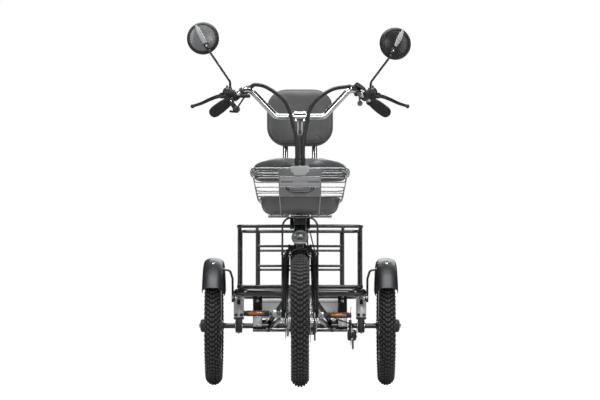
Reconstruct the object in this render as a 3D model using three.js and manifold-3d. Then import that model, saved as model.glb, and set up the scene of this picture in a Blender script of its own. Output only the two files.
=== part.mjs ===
// Adult cargo tricycle with three fat-tyred 20 inch wheels, swept handlebar, front and rear baskets.
// Millimetres. +Z is up, the tricycle faces -Y, and +X is the rider's left side.
// The origin lies on the ground, midway between the front tyre and the rear fenders.
import * as THREE from 'three';
import { mergeVertices } from 'three/addons/utils/BufferGeometryUtils.js';
import Module from 'manifold-3d';

const wasm = await Module();
wasm.setup();

// ---------------------------------------------------------------- driving dimensions

// Wheels: wide 406 mm tyres.
const WHEEL_RADIUS = 265;
const TIRE_HALF_WIDTH = 36.5;
const RIM_OUTER = 202;
const RIM_INNER = 188;
const SPOKES_PER_SIDE = 6;
const ROTOR_RADIUS = 90;

// Layout. Distances "behind" are measured from the front axle.
const FRONT_AXLE_Y = -575;
const WHEELBASE = 1150;
const HALF_TRACK = 382;

// Steering.
const HEAD_ANGLE = THREE.MathUtils.degToRad(70);
const FORK_OFFSET = 45;
const STEERER_RADIUS = 14.3;
const HEAD_TUBE_OUTER = 22;
const CROWN_Z = 548;
const HEAD_TUBE_LOW_Z = 603;
const HEAD_TUBE_HIGH_Z = 776;
const STEERER_TOP_Z = 905;
const BAR_RADIUS = 12.7;
const BAR_CENTRE = [0, 270, 1106];

// Drive.
const CRANK_BEHIND = 480;
const CRANK_Z = 300;
const CRANK_LENGTH = 170;
const CHAIN_X = -52;
const CHAINRING_PITCH_RADIUS = 89;
const SPROCKET_PITCH_RADIUS = 40.5;

// Seat.
const SEAT_ANGLE = THREE.MathUtils.degToRad(68);
const SEAT_TUBE_FOOT = [0, 560, 330];
const SEAT_TUBE_LENGTH = 385;
const SEAT_POST_RADIUS = 15;

// Rear frame and cargo basket.
const LOOP_RADIUS = 17;
const LOOP_HALF_WIDTH = 273;
const LOOP_FRONT = 850;
const LOOP_BACK = 1290;
const LOOP_Z = 404;
const AXLE_RADIUS = 12;
const BASKET_RAIL_RADIUS = 8;
const BASKET_BASE_Z = LOOP_Z + LOOP_RADIUS + BASKET_RAIL_RADIUS + 0.5;
const BASKET_TOP_Z = 692;

// Clearance between pieces that touch.
const GAP = 0.4;

const SIDES = [['left', 1], ['right', -1]];

// ---------------------------------------------------------------- points and directions

// A point given as across, distance behind the front axle, and height.
function at(x, behind, z) {
  return new THREE.Vector3(x, FRONT_AXLE_Y + behind, z);
}

const STEER_UP = new THREE.Vector3(0, Math.cos(HEAD_ANGLE), Math.sin(HEAD_ANGLE));
const STEER_FOOT = at(0, FORK_OFFSET / Math.sin(HEAD_ANGLE), WHEEL_RADIUS);
const SEAT_UP = new THREE.Vector3(0, Math.cos(SEAT_ANGLE), Math.sin(SEAT_ANGLE));

// The point of the steering axis at a given height.
function onSteeringAxis(z) {
  return STEER_FOOT.clone().addScaledVector(STEER_UP, (z - WHEEL_RADIUS) / STEER_UP.z);
}

// The point of the seat tube axis at a distance from its foot.
function onSeatAxis(distance) {
  return at(...SEAT_TUBE_FOOT).addScaledVector(SEAT_UP, distance);
}

// ---------------------------------------------------------------- shape helpers

// Six times the signed volume: positive when the faces point outwards.
function signedVolume(position, index) {
  const [a, b, c] = [new THREE.Vector3(), new THREE.Vector3(), new THREE.Vector3()];
  let sum = 0;
  for (let i = 0; i < index.count; i += 3) {
    a.fromBufferAttribute(position, index.getX(i));
    b.fromBufferAttribute(position, index.getX(i + 1));
    c.fromBufferAttribute(position, index.getX(i + 2));
    sum += a.dot(b.cross(c));
  }
  return sum;
}

// Keeps only positions, joins equal vertices, drops faces of no area and turns the faces outwards.
function closedForm(geometry) {
  const bare = new THREE.BufferGeometry();
  bare.setAttribute('position', geometry.getAttribute('position').clone());
  bare.setIndex(geometry.index);
  const merged = mergeVertices(bare, 1e-3);
  const faces = [];
  for (let i = 0; i < merged.index.count; i += 3) {
    const [a, b, c] = [0, 1, 2].map((k) => merged.index.getX(i + k));
    if (a !== b && b !== c && c !== a) {
      faces.push(a, b, c);
    }
  }
  merged.setIndex(faces);
  if (signedVolume(merged.getAttribute('position'), merged.index) < 0) {
    merged.setIndex(faces.map((vertex, i) => faces[i - (i % 3) + 2 - (i % 3)]));
  }
  return merged;
}

function toSolid(geometry) {
  const form = closedForm(geometry);
  return new wasm.Manifold(new wasm.Mesh({
    numProp: 3,
    vertProperties: Float32Array.from(form.getAttribute('position').array),
    triVerts: Uint32Array.from(form.index.array),
  }));
}

function fromSolid(solid) {
  const mesh = solid.getMesh();
  const geometry = new THREE.BufferGeometry();
  geometry.setAttribute('position', new THREE.BufferAttribute(mesh.vertProperties, 3));
  geometry.setIndex(new THREE.BufferAttribute(mesh.triVerts, 1));
  return geometry;
}

function join(...geometries) {
  const solids = geometries.flat(Infinity).map(toSolid);
  return fromSolid(solids.reduce((whole, piece) => whole.add(piece)));
}

function cut(base, ...tools) {
  const solids = tools.flat(Infinity).map(toSolid);
  return fromSolid(solids.reduce((whole, tool) => whole.subtract(tool), toSolid(base)));
}

// A path of straight runs joined by bends, with its points only where the bends need them.
class BentPath extends THREE.Curve {
  constructor(corners, bendRadius, knotsPerBend = 3) {
    super();
    this.knots = [corners[0]];
    for (let i = 1; i < corners.length - 1; i += 1) {
      const into = corners[i].clone().sub(corners[i - 1]).normalize();
      const out = corners[i + 1].clone().sub(corners[i]).normalize();
      const setback = bendRadius * Math.tan(into.angleTo(out) / 2);
      const start = corners[i].clone().addScaledVector(into, -setback);
      const end = corners[i].clone().addScaledVector(out, setback);
      const bend = new THREE.QuadraticBezierCurve3(start, corners[i], end);
      this.knots.push(...bend.getPoints(knotsPerBend));
    }
    this.knots.push(corners[corners.length - 1]);
  }

  get steps() {
    return this.knots.length - 1;
  }

  getPoint(t, target = new THREE.Vector3()) {
    const place = t * this.steps;
    const i = Math.min(Math.max(Math.floor(place), 0), this.steps - 1);
    return target.lerpVectors(this.knots[i], this.knots[i + 1], place - i);
  }

  getPointAt(u, target) {
    return this.getPoint(u, target);
  }

  getTangentAt(u, target) {
    return this.getTangent(u, target);
  }
}

function polygonShape(radius, sides) {
  const corners = [];
  for (let i = 0; i < sides; i += 1) {
    const angle = (2 * Math.PI * (i + 0.5)) / sides;
    corners.push(new THREE.Vector2(radius * Math.cos(angle), radius * Math.sin(angle)));
  }
  return new THREE.Shape(corners);
}

function shapeOf(points) {
  return new THREE.Shape(points.map(([x, y]) => new THREE.Vector2(x, y)));
}

// A bent tube through corner points.
function pipe(corners, radius, bendRadius, sides = 8, knotsPerBend = 3) {
  const path = new BentPath(corners, bendRadius, knotsPerBend);
  const options = { extrudePath: path, steps: path.steps };
  return closedForm(new THREE.ExtrudeGeometry(polygonShape(radius, sides), options));
}

// A tube along a smooth curve through points.
function cable(points, radius, sides, steps) {
  const path = new THREE.CatmullRomCurve3(points, false, 'centripetal');
  return closedForm(new THREE.ExtrudeGeometry(polygonShape(radius, sides), { extrudePath: path, steps }));
}

// Turns a geometry built along +Y so that it runs from one point towards another.
function aim(geometry, from, towards) {
  const direction = towards.clone().sub(from).normalize();
  const turn = new THREE.Quaternion().setFromUnitVectors(new THREE.Vector3(0, 1, 0), direction);
  geometry.applyQuaternion(turn);
  geometry.translate(from.x, from.y, from.z);
  return geometry;
}

// A straight rod between two points, which may taper.
function rod(from, to, radius, sides = 8, endRadius = radius) {
  const length = from.distanceTo(to);
  const cylinder = new THREE.CylinderGeometry(endRadius, radius, length, sides, 1);
  cylinder.translate(0, length / 2, 0);
  return closedForm(aim(cylinder, from, to));
}

// The radius of a many-sided bore that clears a round shaft all round.
function clearOf(radius, sides) {
  return (radius + GAP) / Math.cos(Math.PI / sides);
}

// A straight bore to cut away around a shaft.
function bore(from, to, shaftRadius, sides = 10) {
  return rod(from, to, clearOf(shaftRadius, sides), sides);
}

// A solid of revolution from [radius, distance] points, starting at one point and aimed at another.
function turned(profile, from, towards, segments = 16) {
  const points = profile.map(([radius, distance]) => new THREE.Vector2(radius, distance));
  const closed = points[0].x > 0 || points[points.length - 1].x > 0;
  const outline = closed ? [...points, points[0]] : points;
  return closedForm(aim(new THREE.LatheGeometry(outline, segments), from, towards));
}

function box(width, depth, height, centre) {
  const geometry = new THREE.BoxGeometry(width, depth, height);
  geometry.translate(centre.x, centre.y, centre.z);
  return closedForm(geometry);
}

// A rounded rectangle outline, centred, with a few points on each corner.
function roundedRectangle(halfWidth, halfHeight, radius, pointsPerCorner = 4) {
  const points = [];
  const centres = [[1, 1], [-1, 1], [-1, -1], [1, -1]];
  centres.forEach(([sx, sy], quarter) => {
    for (let i = 0; i < pointsPerCorner; i += 1) {
      const angle = (Math.PI / 2) * (quarter + i / (pointsPerCorner - 1));
      points.push([
        sx * (halfWidth - radius) + radius * Math.cos(angle),
        sy * (halfHeight - radius) + radius * Math.sin(angle),
      ]);
    }
  });
  return points;
}

// A sleeve between two points.
function ring(outer, inner, from, to, segments) {
  const length = from.distanceTo(to);
  return turned([[inner, 0], [outer, 0], [outer, length], [inner, length]], from, to, segments);
}

// A level ring of tube around a rounded rectangle. One half is a little slimmer and enters the other.
function hoop(halfWidth, front, back, z, radius, bendRadius, sides) {
  const middle = (front + back) / 2;
  const half = (side, tubeRadius) => pipe([
    at(-side * 1, front, z),
    at(side * halfWidth, front, z),
    at(side * halfWidth, back, z),
    at(-side * 1, back, z),
  ], tubeRadius, Math.min(bendRadius, back - middle - 1), sides, 2);
  return join(half(1, radius), half(-1, radius * 0.96));
}

// ---------------------------------------------------------------- materials

function material(color, roughness, metalness) {
  return new THREE.MeshStandardMaterial({ color, roughness, metalness });
}

const GLOSS_BLACK = () => material(0x0c0c0e, 0.18, 0.2);
const SATIN_BLACK = () => material(0x1c1c1e, 0.5, 0.2);
const RUBBER = () => material(0x1d1d1e, 0.85, 0);
const TYRE_RUBBER = () => material(0x262627, 0.9, 0);
const CHROME = () => material(0xd8dadc, 0.1, 1);
const STEEL = () => material(0xa8aaac, 0.35, 1);
const SILVER_PAINT = () => material(0xc4c6c8, 0.4, 0.4);
const WIRE_GREY = () => material(0xa9abad, 0.3, 0.8);
const LEATHER = () => material(0x37383b, 0.55, 0);
const LENS = () => material(0xdfe3e6, 0.05, 0);
const CASE_GREY = () => material(0xd4d5d6, 0.5, 0);

const tricycle = new THREE.Group();

function add(name, geometry, surface) {
  const mesh = new THREE.Mesh(geometry, surface);
  mesh.name = name;
  tricycle.add(mesh);
  return mesh;
}

// ---------------------------------------------------------------- wheels

const TIRE_PROFILE = [
  [202.5, -28], [226, -TIRE_HALF_WIDTH], [250, 3 - TIRE_HALF_WIDTH], [WHEEL_RADIUS, -14],
  [WHEEL_RADIUS, 14], [250, TIRE_HALF_WIDTH - 3], [226, TIRE_HALF_WIDTH], [202.5, 28],
  [202.5, 22], [240, 28], [257, 0], [240, -28], [202.5, -22],
];
const RIM_PROFILE = [
  [RIM_INNER, -12], [RIM_OUTER, -29], [RIM_OUTER - 3, -26], [193, 0], [RIM_OUTER - 3, 26], [RIM_OUTER, 29],
  [RIM_INNER, 12],
];
const WHEEL_SEGMENTS = 24;
const FLANGE_RADIUS = 28;
const FLANGE_X = 31;
const SPOKE_TIP_RADIUS = RIM_INNER * Math.cos(Math.PI / WHEEL_SEGMENTS) - 2 * GAP;

// A solid of revolution about the line through a wheel centre, along X.
function wheelTurned(profile, centre, segments) {
  return turned(profile, centre, centre.clone().add(new THREE.Vector3(1, 0, 0)), segments);
}

// Straight spokes from both hub flanges to just short of the rim.
function spokes(centre) {
  const rods = [];
  for (const side of [1, -1]) {
    for (let i = 0; i < SPOKES_PER_SIDE; i += 1) {
      const angle = (2 * Math.PI * (i + (side > 0 ? 0 : 0.5))) / SPOKES_PER_SIDE;
      const outward = new THREE.Vector3(0, Math.sin(angle), Math.cos(angle));
      const root = centre.clone().addScaledVector(outward, FLANGE_RADIUS - 5);
      const tip = centre.clone().addScaledVector(outward, SPOKE_TIP_RADIUS);
      root.x += side * FLANGE_X;
      tip.x += side * 5;
      rods.push(rod(root, tip, 1.8, 4));
    }
  }
  return rods;
}

function hubFlanges(barrel) {
  return [
    [barrel, -FLANGE_X - 2], [FLANGE_RADIUS, -FLANGE_X - 2], [FLANGE_RADIUS, -FLANGE_X + 2],
    [barrel, -FLANGE_X + 2], [barrel, FLANGE_X - 2], [FLANGE_RADIUS, FLANGE_X - 2],
    [FLANGE_RADIUS, FLANGE_X + 2], [barrel, FLANGE_X + 2],
  ];
}

function addTireAndRim(label, centre) {
  add(`${label}_tire`, wheelTurned(TIRE_PROFILE, centre, WHEEL_SEGMENTS), TYRE_RUBBER());
  add(`${label}_rim`, wheelTurned(RIM_PROFILE, centre, WHEEL_SEGMENTS), SATIN_BLACK());
}

const ROTOR_SEGMENTS = 16;

// A brake disc with its carrier, bored for the shaft that it sits on.
function rotorGeometry(centre, bore, carrierOuter) {
  return wheelTurned([
    [bore, -6], [carrierOuter, -6], [carrierOuter, -1], [ROTOR_RADIUS, -1],
    [ROTOR_RADIUS, 1], [carrierOuter, 1], [carrierOuter, 6], [bore, 6],
  ], centre, ROTOR_SEGMENTS);
}

const FRONT_AXLE = at(0, 0, WHEEL_RADIUS);
const FRONT_AXLE_RADIUS = 5;
const FRONT_ROTOR_X = 41;
const FRONT_HUB_END = 50;

addTireAndRim('front', FRONT_AXLE);
add('front_hub', join(
  wheelTurned([
    [FRONT_AXLE_RADIUS + 2, -FRONT_HUB_END], [14, -FRONT_HUB_END],
    ...hubFlanges(14), [14, FRONT_ROTOR_X - 7], [FRONT_AXLE_RADIUS + 2, FRONT_ROTOR_X - 7],
  ], FRONT_AXLE, 8),
  spokes(FRONT_AXLE),
), STEEL());
add('front_rotor', rotorGeometry(at(FRONT_ROTOR_X, 0, WHEEL_RADIUS), FRONT_AXLE_RADIUS + 2, 20), STEEL());

const REAR_SHAFT_INNER_END = 24;
const REAR_CAP_X = 447;

for (const [side, sign] of SIDES) {
  const centre = at(sign * HALF_TRACK, WHEELBASE, WHEEL_RADIUS);
  const axisPoint = at(0, WHEELBASE, WHEEL_RADIUS);
  const outwards = at(sign, WHEELBASE, WHEEL_RADIUS);
  addTireAndRim(`rear_${side}`, centre);
  const shaftAndHub = turned([
    [0, REAR_SHAFT_INNER_END], [AXLE_RADIUS, REAR_SHAFT_INNER_END], [AXLE_RADIUS, HALF_TRACK - 45],
    [18, HALF_TRACK - 45],
    ...hubFlanges(18).map(([radius, distance]) => [radius, distance + HALF_TRACK]),
    [18, HALF_TRACK + 48], [30, HALF_TRACK + 48],
    [28, REAR_CAP_X - 6], [14, REAR_CAP_X], [0, REAR_CAP_X],
  ], axisPoint, outwards, 8);
  add(`rear_${side}_hub`, join(shaftAndHub, spokes(centre)), STEEL());
}

const REAR_ROTOR_X = 227;
add('rear_rotor', rotorGeometry(at(REAR_ROTOR_X, WHEELBASE, WHEEL_RADIUS), clearOf(AXLE_RADIUS, ROTOR_SEGMENTS), 26), STEEL());

// ---------------------------------------------------------------- steering: fork and stem

const LEG_TOP_X = 44;
const LEG_KNEE_X = 54.5;
const LEG_FOOT_X = 58;
const LEG_KNEE_SHARE = 0.08;
const LEG_RADIUS = 13;
const LEG_FOOT_RADIUS = 7;
const CROWN = onSteeringAxis(CROWN_Z);

// A leg leans out from the crown to its knee beside the fender, and tapers down to the axle.
function forkLeg(sign) {
  const top = CROWN.clone().setX(sign * LEG_TOP_X);
  const foot = at(sign * LEG_FOOT_X, 2, WHEEL_RADIUS + 12);
  const knee = top.clone().lerp(foot, LEG_KNEE_SHARE).setX(sign * LEG_KNEE_X);
  return join(
    rod(top, knee.clone().lerp(foot, 0.02), LEG_RADIUS, 8),
    rod(knee.clone().lerp(top, 0.2), foot, LEG_RADIUS, 8, LEG_FOOT_RADIUS),
    box(7, 26, 34, at(sign * LEG_FOOT_X, 2, WHEEL_RADIUS + 4)),
  );
}

const AXLE_NUT_X = 74;
const CALIPER_ARM_FOOT = at(LEG_FOOT_X - 3, 60, 240);
add('fork', join(
  rod(onSteeringAxis(CROWN_Z - 4), onSteeringAxis(STEERER_TOP_Z), STEERER_RADIUS, 10),
  turned([[0, 0], [24, 0], [21, 30], [0, 30]], onSteeringAxis(CROWN_Z + 12), onSteeringAxis(HEAD_TUBE_LOW_Z), 12),
  box(2 * LEG_TOP_X + 16, 34, 40, CROWN),
  forkLeg(1),
  forkLeg(-1),
  rod(at(-AXLE_NUT_X, 0, WHEEL_RADIUS), at(AXLE_NUT_X, 0, WHEEL_RADIUS), FRONT_AXLE_RADIUS, 8),
  rod(at(LEG_FOOT_X, 8, 262), CALIPER_ARM_FOOT, 6, 6),
), GLOSS_BLACK());

// Stem: a tall quill tube over the steerer, then a forward arm to the bar clamp.
const STEM_FOOT = onSteeringAxis(HEAD_TUBE_HIGH_Z + 6);
const STEM_TOP = onSteeringAxis(1052);
const BAR_POINT = at(...BAR_CENTRE);
const CLAMP_HALF = 26;
const BAR_LEFT = at(CLAMP_HALF, BAR_CENTRE[1], BAR_CENTRE[2]);
const BAR_RIGHT = at(-CLAMP_HALF, BAR_CENTRE[1], BAR_CENTRE[2]);
add('stem', cut(
  join(
    rod(STEM_FOOT, STEM_TOP, 20, 12),
    rod(STEM_TOP.clone().addScaledVector(STEER_UP, -18), BAR_POINT, 15, 10),
    rod(BAR_LEFT, BAR_RIGHT, 22, 12),
  ),
  bore(onSteeringAxis(700), onSteeringAxis(STEERER_TOP_Z + 2), STEERER_RADIUS),
  bore(at(90, ...BAR_CENTRE.slice(1)), at(-90, ...BAR_CENTRE.slice(1)), BAR_RADIUS),
), CHROME());

// ---------------------------------------------------------------- steering: handlebar and controls

// One half of the bar from the clamp out: up and over, then back along the grip.
const GRIP_START = [284, 326, 1184];
const GRIP_END = [364, 432, 1138];
const BAR_END = 134;
function barCorners(sign) {
  return [
    at(0, ...BAR_CENTRE.slice(1)),
    at(sign * 98, ...BAR_CENTRE.slice(1)),
    at(sign * 208, 276, 1224),
    at(sign * 252, 284, 1202),
    gripLine(sign, BAR_END),
  ];
}
add('handlebar', join(
  pipe(barCorners(1), BAR_RADIUS, 34, 8, 3),
  pipe(barCorners(-1), BAR_RADIUS, 34, 8, 3),
), CHROME());

const GRIP_LENGTH = 132;
const GRIP_PROFILE = [
  [clearOf(BAR_RADIUS, 10), 0], [17, 0], [19.5, GRIP_LENGTH - 18], [15, GRIP_LENGTH],
  [0, GRIP_LENGTH], [0, GRIP_LENGTH - 5], [clearOf(BAR_RADIUS, 10), GRIP_LENGTH - 5],
];
const PERCH_LENGTH = 20;
const LEVER_PIVOT = [322, 292, 1196];
const LEVER_TIP = [438, 368, 1148];

function gripLine(sign, distance) {
  const start = at(sign * GRIP_START[0], ...GRIP_START.slice(1));
  const end = at(sign * GRIP_END[0], ...GRIP_END.slice(1));
  return start.addScaledVector(end.sub(start).normalize(), distance);
}

for (const [side, sign] of SIDES) {
  const first = gripLine(sign, 10);
  add(`grip_${side}`, turned(GRIP_PROFILE, first, gripLine(sign, 60), 10), RUBBER());

  // Brake perch: a ring on the bar, a body reaching forward to the lever pivot, and a domed bell above.
  const pivot = at(sign * LEVER_PIVOT[0], ...LEVER_PIVOT.slice(1));
  const tip = at(sign * LEVER_TIP[0], ...LEVER_TIP.slice(1));
  const ringStart = gripLine(sign, -40);
  const ringTowards = gripLine(sign, 0);
  const hingeUp = leverHingeAxis(sign);
  const perch = join(
    turned([[0, 0], [18, 0], [18, PERCH_LENGTH], [0, PERCH_LENGTH]], ringStart, ringTowards, 8),
    rod(ringStart.clone().add(new THREE.Vector3(sign * 8, -12, 6)), pivot, 8, 8),
    rod(pivot.clone().addScaledVector(hingeUp, -9), pivot.clone().addScaledVector(hingeUp, 9), 9, 8),
    turned([[0, 0], [13, 0], [15, 10], [11, 20], [0, 24]],
      at(sign * 300, 282, 1206), at(sign * 300, 282, 1240), 8),
  );
  const barBore = rod(gripLine(sign, -60), gripLine(sign, 8), BAR_RADIUS + 2.6, 10);
  const leverSlot = rod(pivot.clone().addScaledVector(hingeUp, -4.4),
    pivot.clone().addScaledVector(hingeUp, 4.4), 16, 12);
  add(`brake_perch_${side}`, cut(perch, barBore, leverSlot), SATIN_BLACK());

  const bladeStart = pivot.clone().addScaledVector(tip.clone().sub(pivot).normalize(), 3);
  add(`brake_lever_${side}`, join(
    rod(pivot.clone().addScaledVector(hingeUp, -3.8), pivot.clone().addScaledVector(hingeUp, 3.8), 8, 8),
    rod(bladeStart, tip, 3.7, 6, 5),
    turned([[0, -9], [6.5, -6], [9, 0], [6.5, 6], [0, 9]], tip, pivot, 8),
  ), SATIN_BLACK());
}

// The hinge line of a brake lever: square to the grip and to the blade.
function leverHingeAxis(sign) {
  const along = gripLine(sign, 1).sub(gripLine(sign, 0));
  const blade = at(sign * LEVER_TIP[0], ...LEVER_TIP.slice(1))
    .sub(at(sign * LEVER_PIVOT[0], ...LEVER_PIVOT.slice(1)));
  const axis = along.cross(blade).normalize();
  return axis.z > 0 ? axis : axis.negate();
}

// Shifter under the rider's right side of the bar, with its lever; display and throttle on the left.
// Both clamp the short straight run after the bar's rise.
function riseRun(sign, share) {
  return at(sign * 208, 276, 1224).lerp(at(sign * 252, 284, 1202), share);
}

function barClamp(sign) {
  return rod(riseRun(sign, 0.5), riseRun(sign, 0.78), 19, 10);
}

function clampBore(sign) {
  return rod(riseRun(sign, -0.2), riseRun(sign, 1.5), BAR_RADIUS + 2.2, 10);
}

const SHIFTER_BODY = at(-258, 283, 1152);
add('shifter', cut(
  join(
    barClamp(-1),
    rod(riseRun(-1, 0.64).add(new THREE.Vector3(-2, 0, -17)), SHIFTER_BODY, 9, 6),
    box(46, 30, 40, SHIFTER_BODY),
  ),
  clampBore(-1),
), SATIN_BLACK());
add('shift_lever', join(
  rod(at(-262, 283, 1131.4), at(-262, 283, 1124), 9, 8),
  box(40, 12, 6, at(-280, 280, 1127.5)),
  box(12, 20, 12, at(-300, 276, 1128)),
), SATIN_BLACK());

add('display', cut(
  join(barClamp(1), box(53, 22, 32, at(243, 268, 1233))),
  clampBore(1),
), SATIN_BLACK());
add('throttle', join(
  rod(at(243, 261, 1198), at(243, 251, 1198), 9, 8),
  box(8, 8, 36, at(244, 256.5, 1178)),
  rod(at(246, 260.5, 1160), at(246, 252.5, 1160), 11, 8),
), SATIN_BLACK());

// ---------------------------------------------------------------- steering: mirrors and cables

const MIRROR_RADIUS = 67;
const MIRRORS = {
  left: { base: [289, 309, 1212], bend: [293, 300, 1254], joint: [374, 284, 1360], centre: [396, 312, 1415], yaw: 0.3 },
  right: { base: [-289, 309, 1212], bend: [-288, 300, 1254], joint: [-374, 284, 1380], centre: [-402, 312, 1437], yaw: -0.1 },
};

for (const [side, sign] of SIDES) {
  const { base, bend, joint, centre, yaw } = MIRRORS[side];
  const foot = at(...base);
  add(`mirror_arm_${side}`, join(
    pipe([foot, at(...bend), at(...joint)], 4.5, 14, 8, 3),
    turned([[0, 0], [9, 0], [9, 12], [0, 12]], foot, foot.clone().setZ(foot.z + 20), 8),
  ), GLOSS_BLACK());
  const facing = new THREE.Vector3(Math.sin(yaw), -Math.cos(yaw), 0);
  const middle = at(...centre);
  add(`mirror_${side}`, join(
    turned([[0, -14], [MIRROR_RADIUS - 4, -14], [MIRROR_RADIUS, -10], [MIRROR_RADIUS - 3, 0], [45, 10], [20, 14], [0, 15]],
      middle, middle.clone().add(facing), 20),
    rod(at(...joint).lerp(middle, 0.24), at(...joint).lerp(middle, 0.5), 6, 8),
  ), SATIN_BLACK());
}

const CABLE_RADIUS = 8;
const CABLE_ROUTES = {
  cable_right: [
    [-200, 258, 1228], [-184, 250, 1236], [-143, 240, 1227], [-94, 232, 1196], [-66, 228, 1170],
    [-45, 226, 1130], [-26, 225, 1062], [-15, 222, 1012], [-12.5, 222, 930], [-16, 228, 870],
    [-33, 228, 800], [-33, 206, 740], [-33, 184, 680], [-33, 170, 640],
  ],
  cable_left: [
    [204, 258, 1230], [140, 240, 1218], [90, 232, 1190], [56, 228, 1158], [40, 226, 1128],
    [25, 225, 1062], [15, 222, 1012], [12.5, 222, 930], [16, 228, 870],
    [33, 228, 800], [33, 206, 740], [33, 184, 680], [33, 170, 640],
  ],
};
for (const [name, route] of Object.entries(CABLE_ROUTES)) {
  add(name, cable(route.map((point) => at(...point)), CABLE_RADIUS, 6, 24), RUBBER());
}

// ---------------------------------------------------------------- steering: front basket

const FRONT_BASKET = { middle: 75, topHalfWidth: 191, topHalfDepth: 122, lowHalfWidth: 170, lowHalfDepth: 108, topZ: 865, lowZ: 762 };
const WIRE_RADIUS = 3;
const UPRIGHT_RADIUS = 2.1;
const UPRIGHT_XS = [-83, 83];
const TRAY_PROFILE = [
  [1, 757], [0.905, 721], [0.715, 694], [0, 690],
  [0, 693], [0.70, 697], [0.88, 723], [0.975, 757],
];
const TRAY_HALF_WIDTH = 158;
const TRAY_HALF_DEPTH = 102;
const TRAY_CORNER_POWER = 4;

// How far out a basket wall stands at a height, as a share of the way from the low ring to the top ring.
function basketShare(z) {
  return (z - FRONT_BASKET.lowZ) / (FRONT_BASKET.topZ - FRONT_BASKET.lowZ);
}

function basketHoop(z) {
  const b = FRONT_BASKET;
  const halfWidth = THREE.MathUtils.lerp(b.lowHalfWidth, b.topHalfWidth, basketShare(z));
  const halfDepth = THREE.MathUtils.lerp(b.lowHalfDepth, b.topHalfDepth, basketShare(z));
  return hoop(halfWidth, b.middle - halfDepth, b.middle + halfDepth, z, WIRE_RADIUS, 38, 5);
}

// A wire that runs down the front, under the tray and up the back.
function basketUpright(x) {
  const b = FRONT_BASKET;
  return pipe([
    at(x, b.middle - b.topHalfDepth - 0.6, b.topZ + 5),
    at(x, b.middle - b.lowHalfDepth, 752),
    at(x * 0.9, b.middle - 84, 684.5),
    at(x * 0.9, b.middle + 84, 684.5),
    at(x, b.middle + b.lowHalfDepth, 752),
    at(x, b.middle + b.topHalfDepth + 0.6, b.topZ + 5),
  ], UPRIGHT_RADIUS, 24, 4, 1);
}

add('front_basket', join(
  [865, 814, 764].map(basketHoop),
  UPRIGHT_XS.map(basketUpright),
), WIRE_GREY());

// A dish: a solid of revolution pushed out towards a rounded rectangle.
function dish(profile, halfWidth, halfDepth, power, middle, segments) {
  const geometry = turned(profile, new THREE.Vector3(), new THREE.Vector3(0, 0, 1), segments);
  const position = geometry.getAttribute('position');
  for (let i = 0; i < position.count; i += 1) {
    const [x, y, z] = [position.getX(i), position.getY(i), position.getZ(i)];
    const reach = Math.hypot(x, y);
    const cos = reach > 0 ? Math.abs(x / reach) : 0;
    const sin = reach > 0 ? Math.abs(y / reach) : 0;
    const swell = reach > 0 ? (cos ** power + sin ** power) ** (-1 / power) : 0;
    position.setXYZ(i, x * swell * halfWidth, FRONT_AXLE_Y + middle + y * swell * halfDepth, z);
  }
  return closedForm(geometry);
}

add('basket_tray', dish(TRAY_PROFILE, TRAY_HALF_WIDTH, TRAY_HALF_DEPTH, TRAY_CORNER_POWER,
  FRONT_BASKET.middle, 24), SATIN_BLACK());

// The front plate hangs between the wires; its handle and clasp stand proud of it.
const PLATE_LEAN = Math.atan2(FRONT_BASKET.topHalfDepth - FRONT_BASKET.lowHalfDepth, FRONT_BASKET.topZ - FRONT_BASKET.lowZ);
const plate = join(
  box(156, 4, 112, new THREE.Vector3(0, 0, 0)),
  box(72, 6, 38, new THREE.Vector3(0, -3, 48)),
  box(96, 12, 8, new THREE.Vector3(0, -6, -32)),
);
plate.rotateX(PLATE_LEAN);
plate.translate(0, FRONT_AXLE_Y + FRONT_BASKET.middle - 123.5, 811);
add('basket_plate', plate, CASE_GREY());

// The stay rises from the front axle, outside the fork, and crosses under the basket.
const STAY_X = 70;
const STAY_RADIUS = 4;
add('basket_stay', cut(
  join(
    pipe([at(STAY_X, 2, WHEEL_RADIUS), at(STAY_X, 6, 675), at(-1, 6, 675)], STAY_RADIUS, 45, 5),
    pipe([at(-STAY_X, 2, WHEEL_RADIUS), at(-STAY_X, 6, 675), at(1, 6, 675)], STAY_RADIUS, 45, 6),
    rod(at(STAY_X - 3, 2, WHEEL_RADIUS), at(STAY_X + 3, 2, WHEEL_RADIUS), 11, 10),
    rod(at(-STAY_X - 3, 2, WHEEL_RADIUS), at(-STAY_X + 3, 2, WHEEL_RADIUS), 11, 10),
  ),
  bore(at(-90, 0, WHEEL_RADIUS), at(90, 0, WHEEL_RADIUS), FRONT_AXLE_RADIUS, 8),
), GLOSS_BLACK());

// ---------------------------------------------------------------- steering: lamp, fender, brake

const LAMP = at(0, 78, 600);
add('headlamp', join(
  turned([[0, -22], [20, -22], [32, -8], [34, 14], [30, 26], [0, 32]], LAMP, at(0, 0, 598), 16),
  box(22, 5, 40, at(0, 102, 580)),
  box(30, 26, 5, at(0, 113, 572)),
), LENS());

// A curved strip around a wheel: a closed section swept along an arc, front to back over the top.
function wheelArch(section, wheelCentre, startAngle, endAngle, steps) {
  const arc = new BentPath([wheelCentre, wheelCentre], 0);
  arc.knots = [];
  for (let i = 0; i <= steps; i += 1) {
    const angle = THREE.MathUtils.lerp(startAngle, endAngle, i / steps);
    arc.knots.push(wheelCentre.clone().add(new THREE.Vector3(
      0, -ARCH_REFERENCE * Math.cos(angle), ARCH_REFERENCE * Math.sin(angle))));
  }
  const points = section.map(([x, radius]) => [x, radius - ARCH_REFERENCE]);
  return closedForm(new THREE.ExtrudeGeometry(shapeOf(points), { extrudePath: arc, steps }));
}

const ARCH_REFERENCE = 250;
const degrees = THREE.MathUtils.degToRad;

// A fender section: an outer line over the tyre and the same line a sheet thickness inside.
function fenderSection(outer, thickness) {
  const inner = outer.map(([x, radius]) => [x * (1 - thickness / 45), radius - thickness]).reverse();
  return [...outer, ...inner];
}

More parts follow.
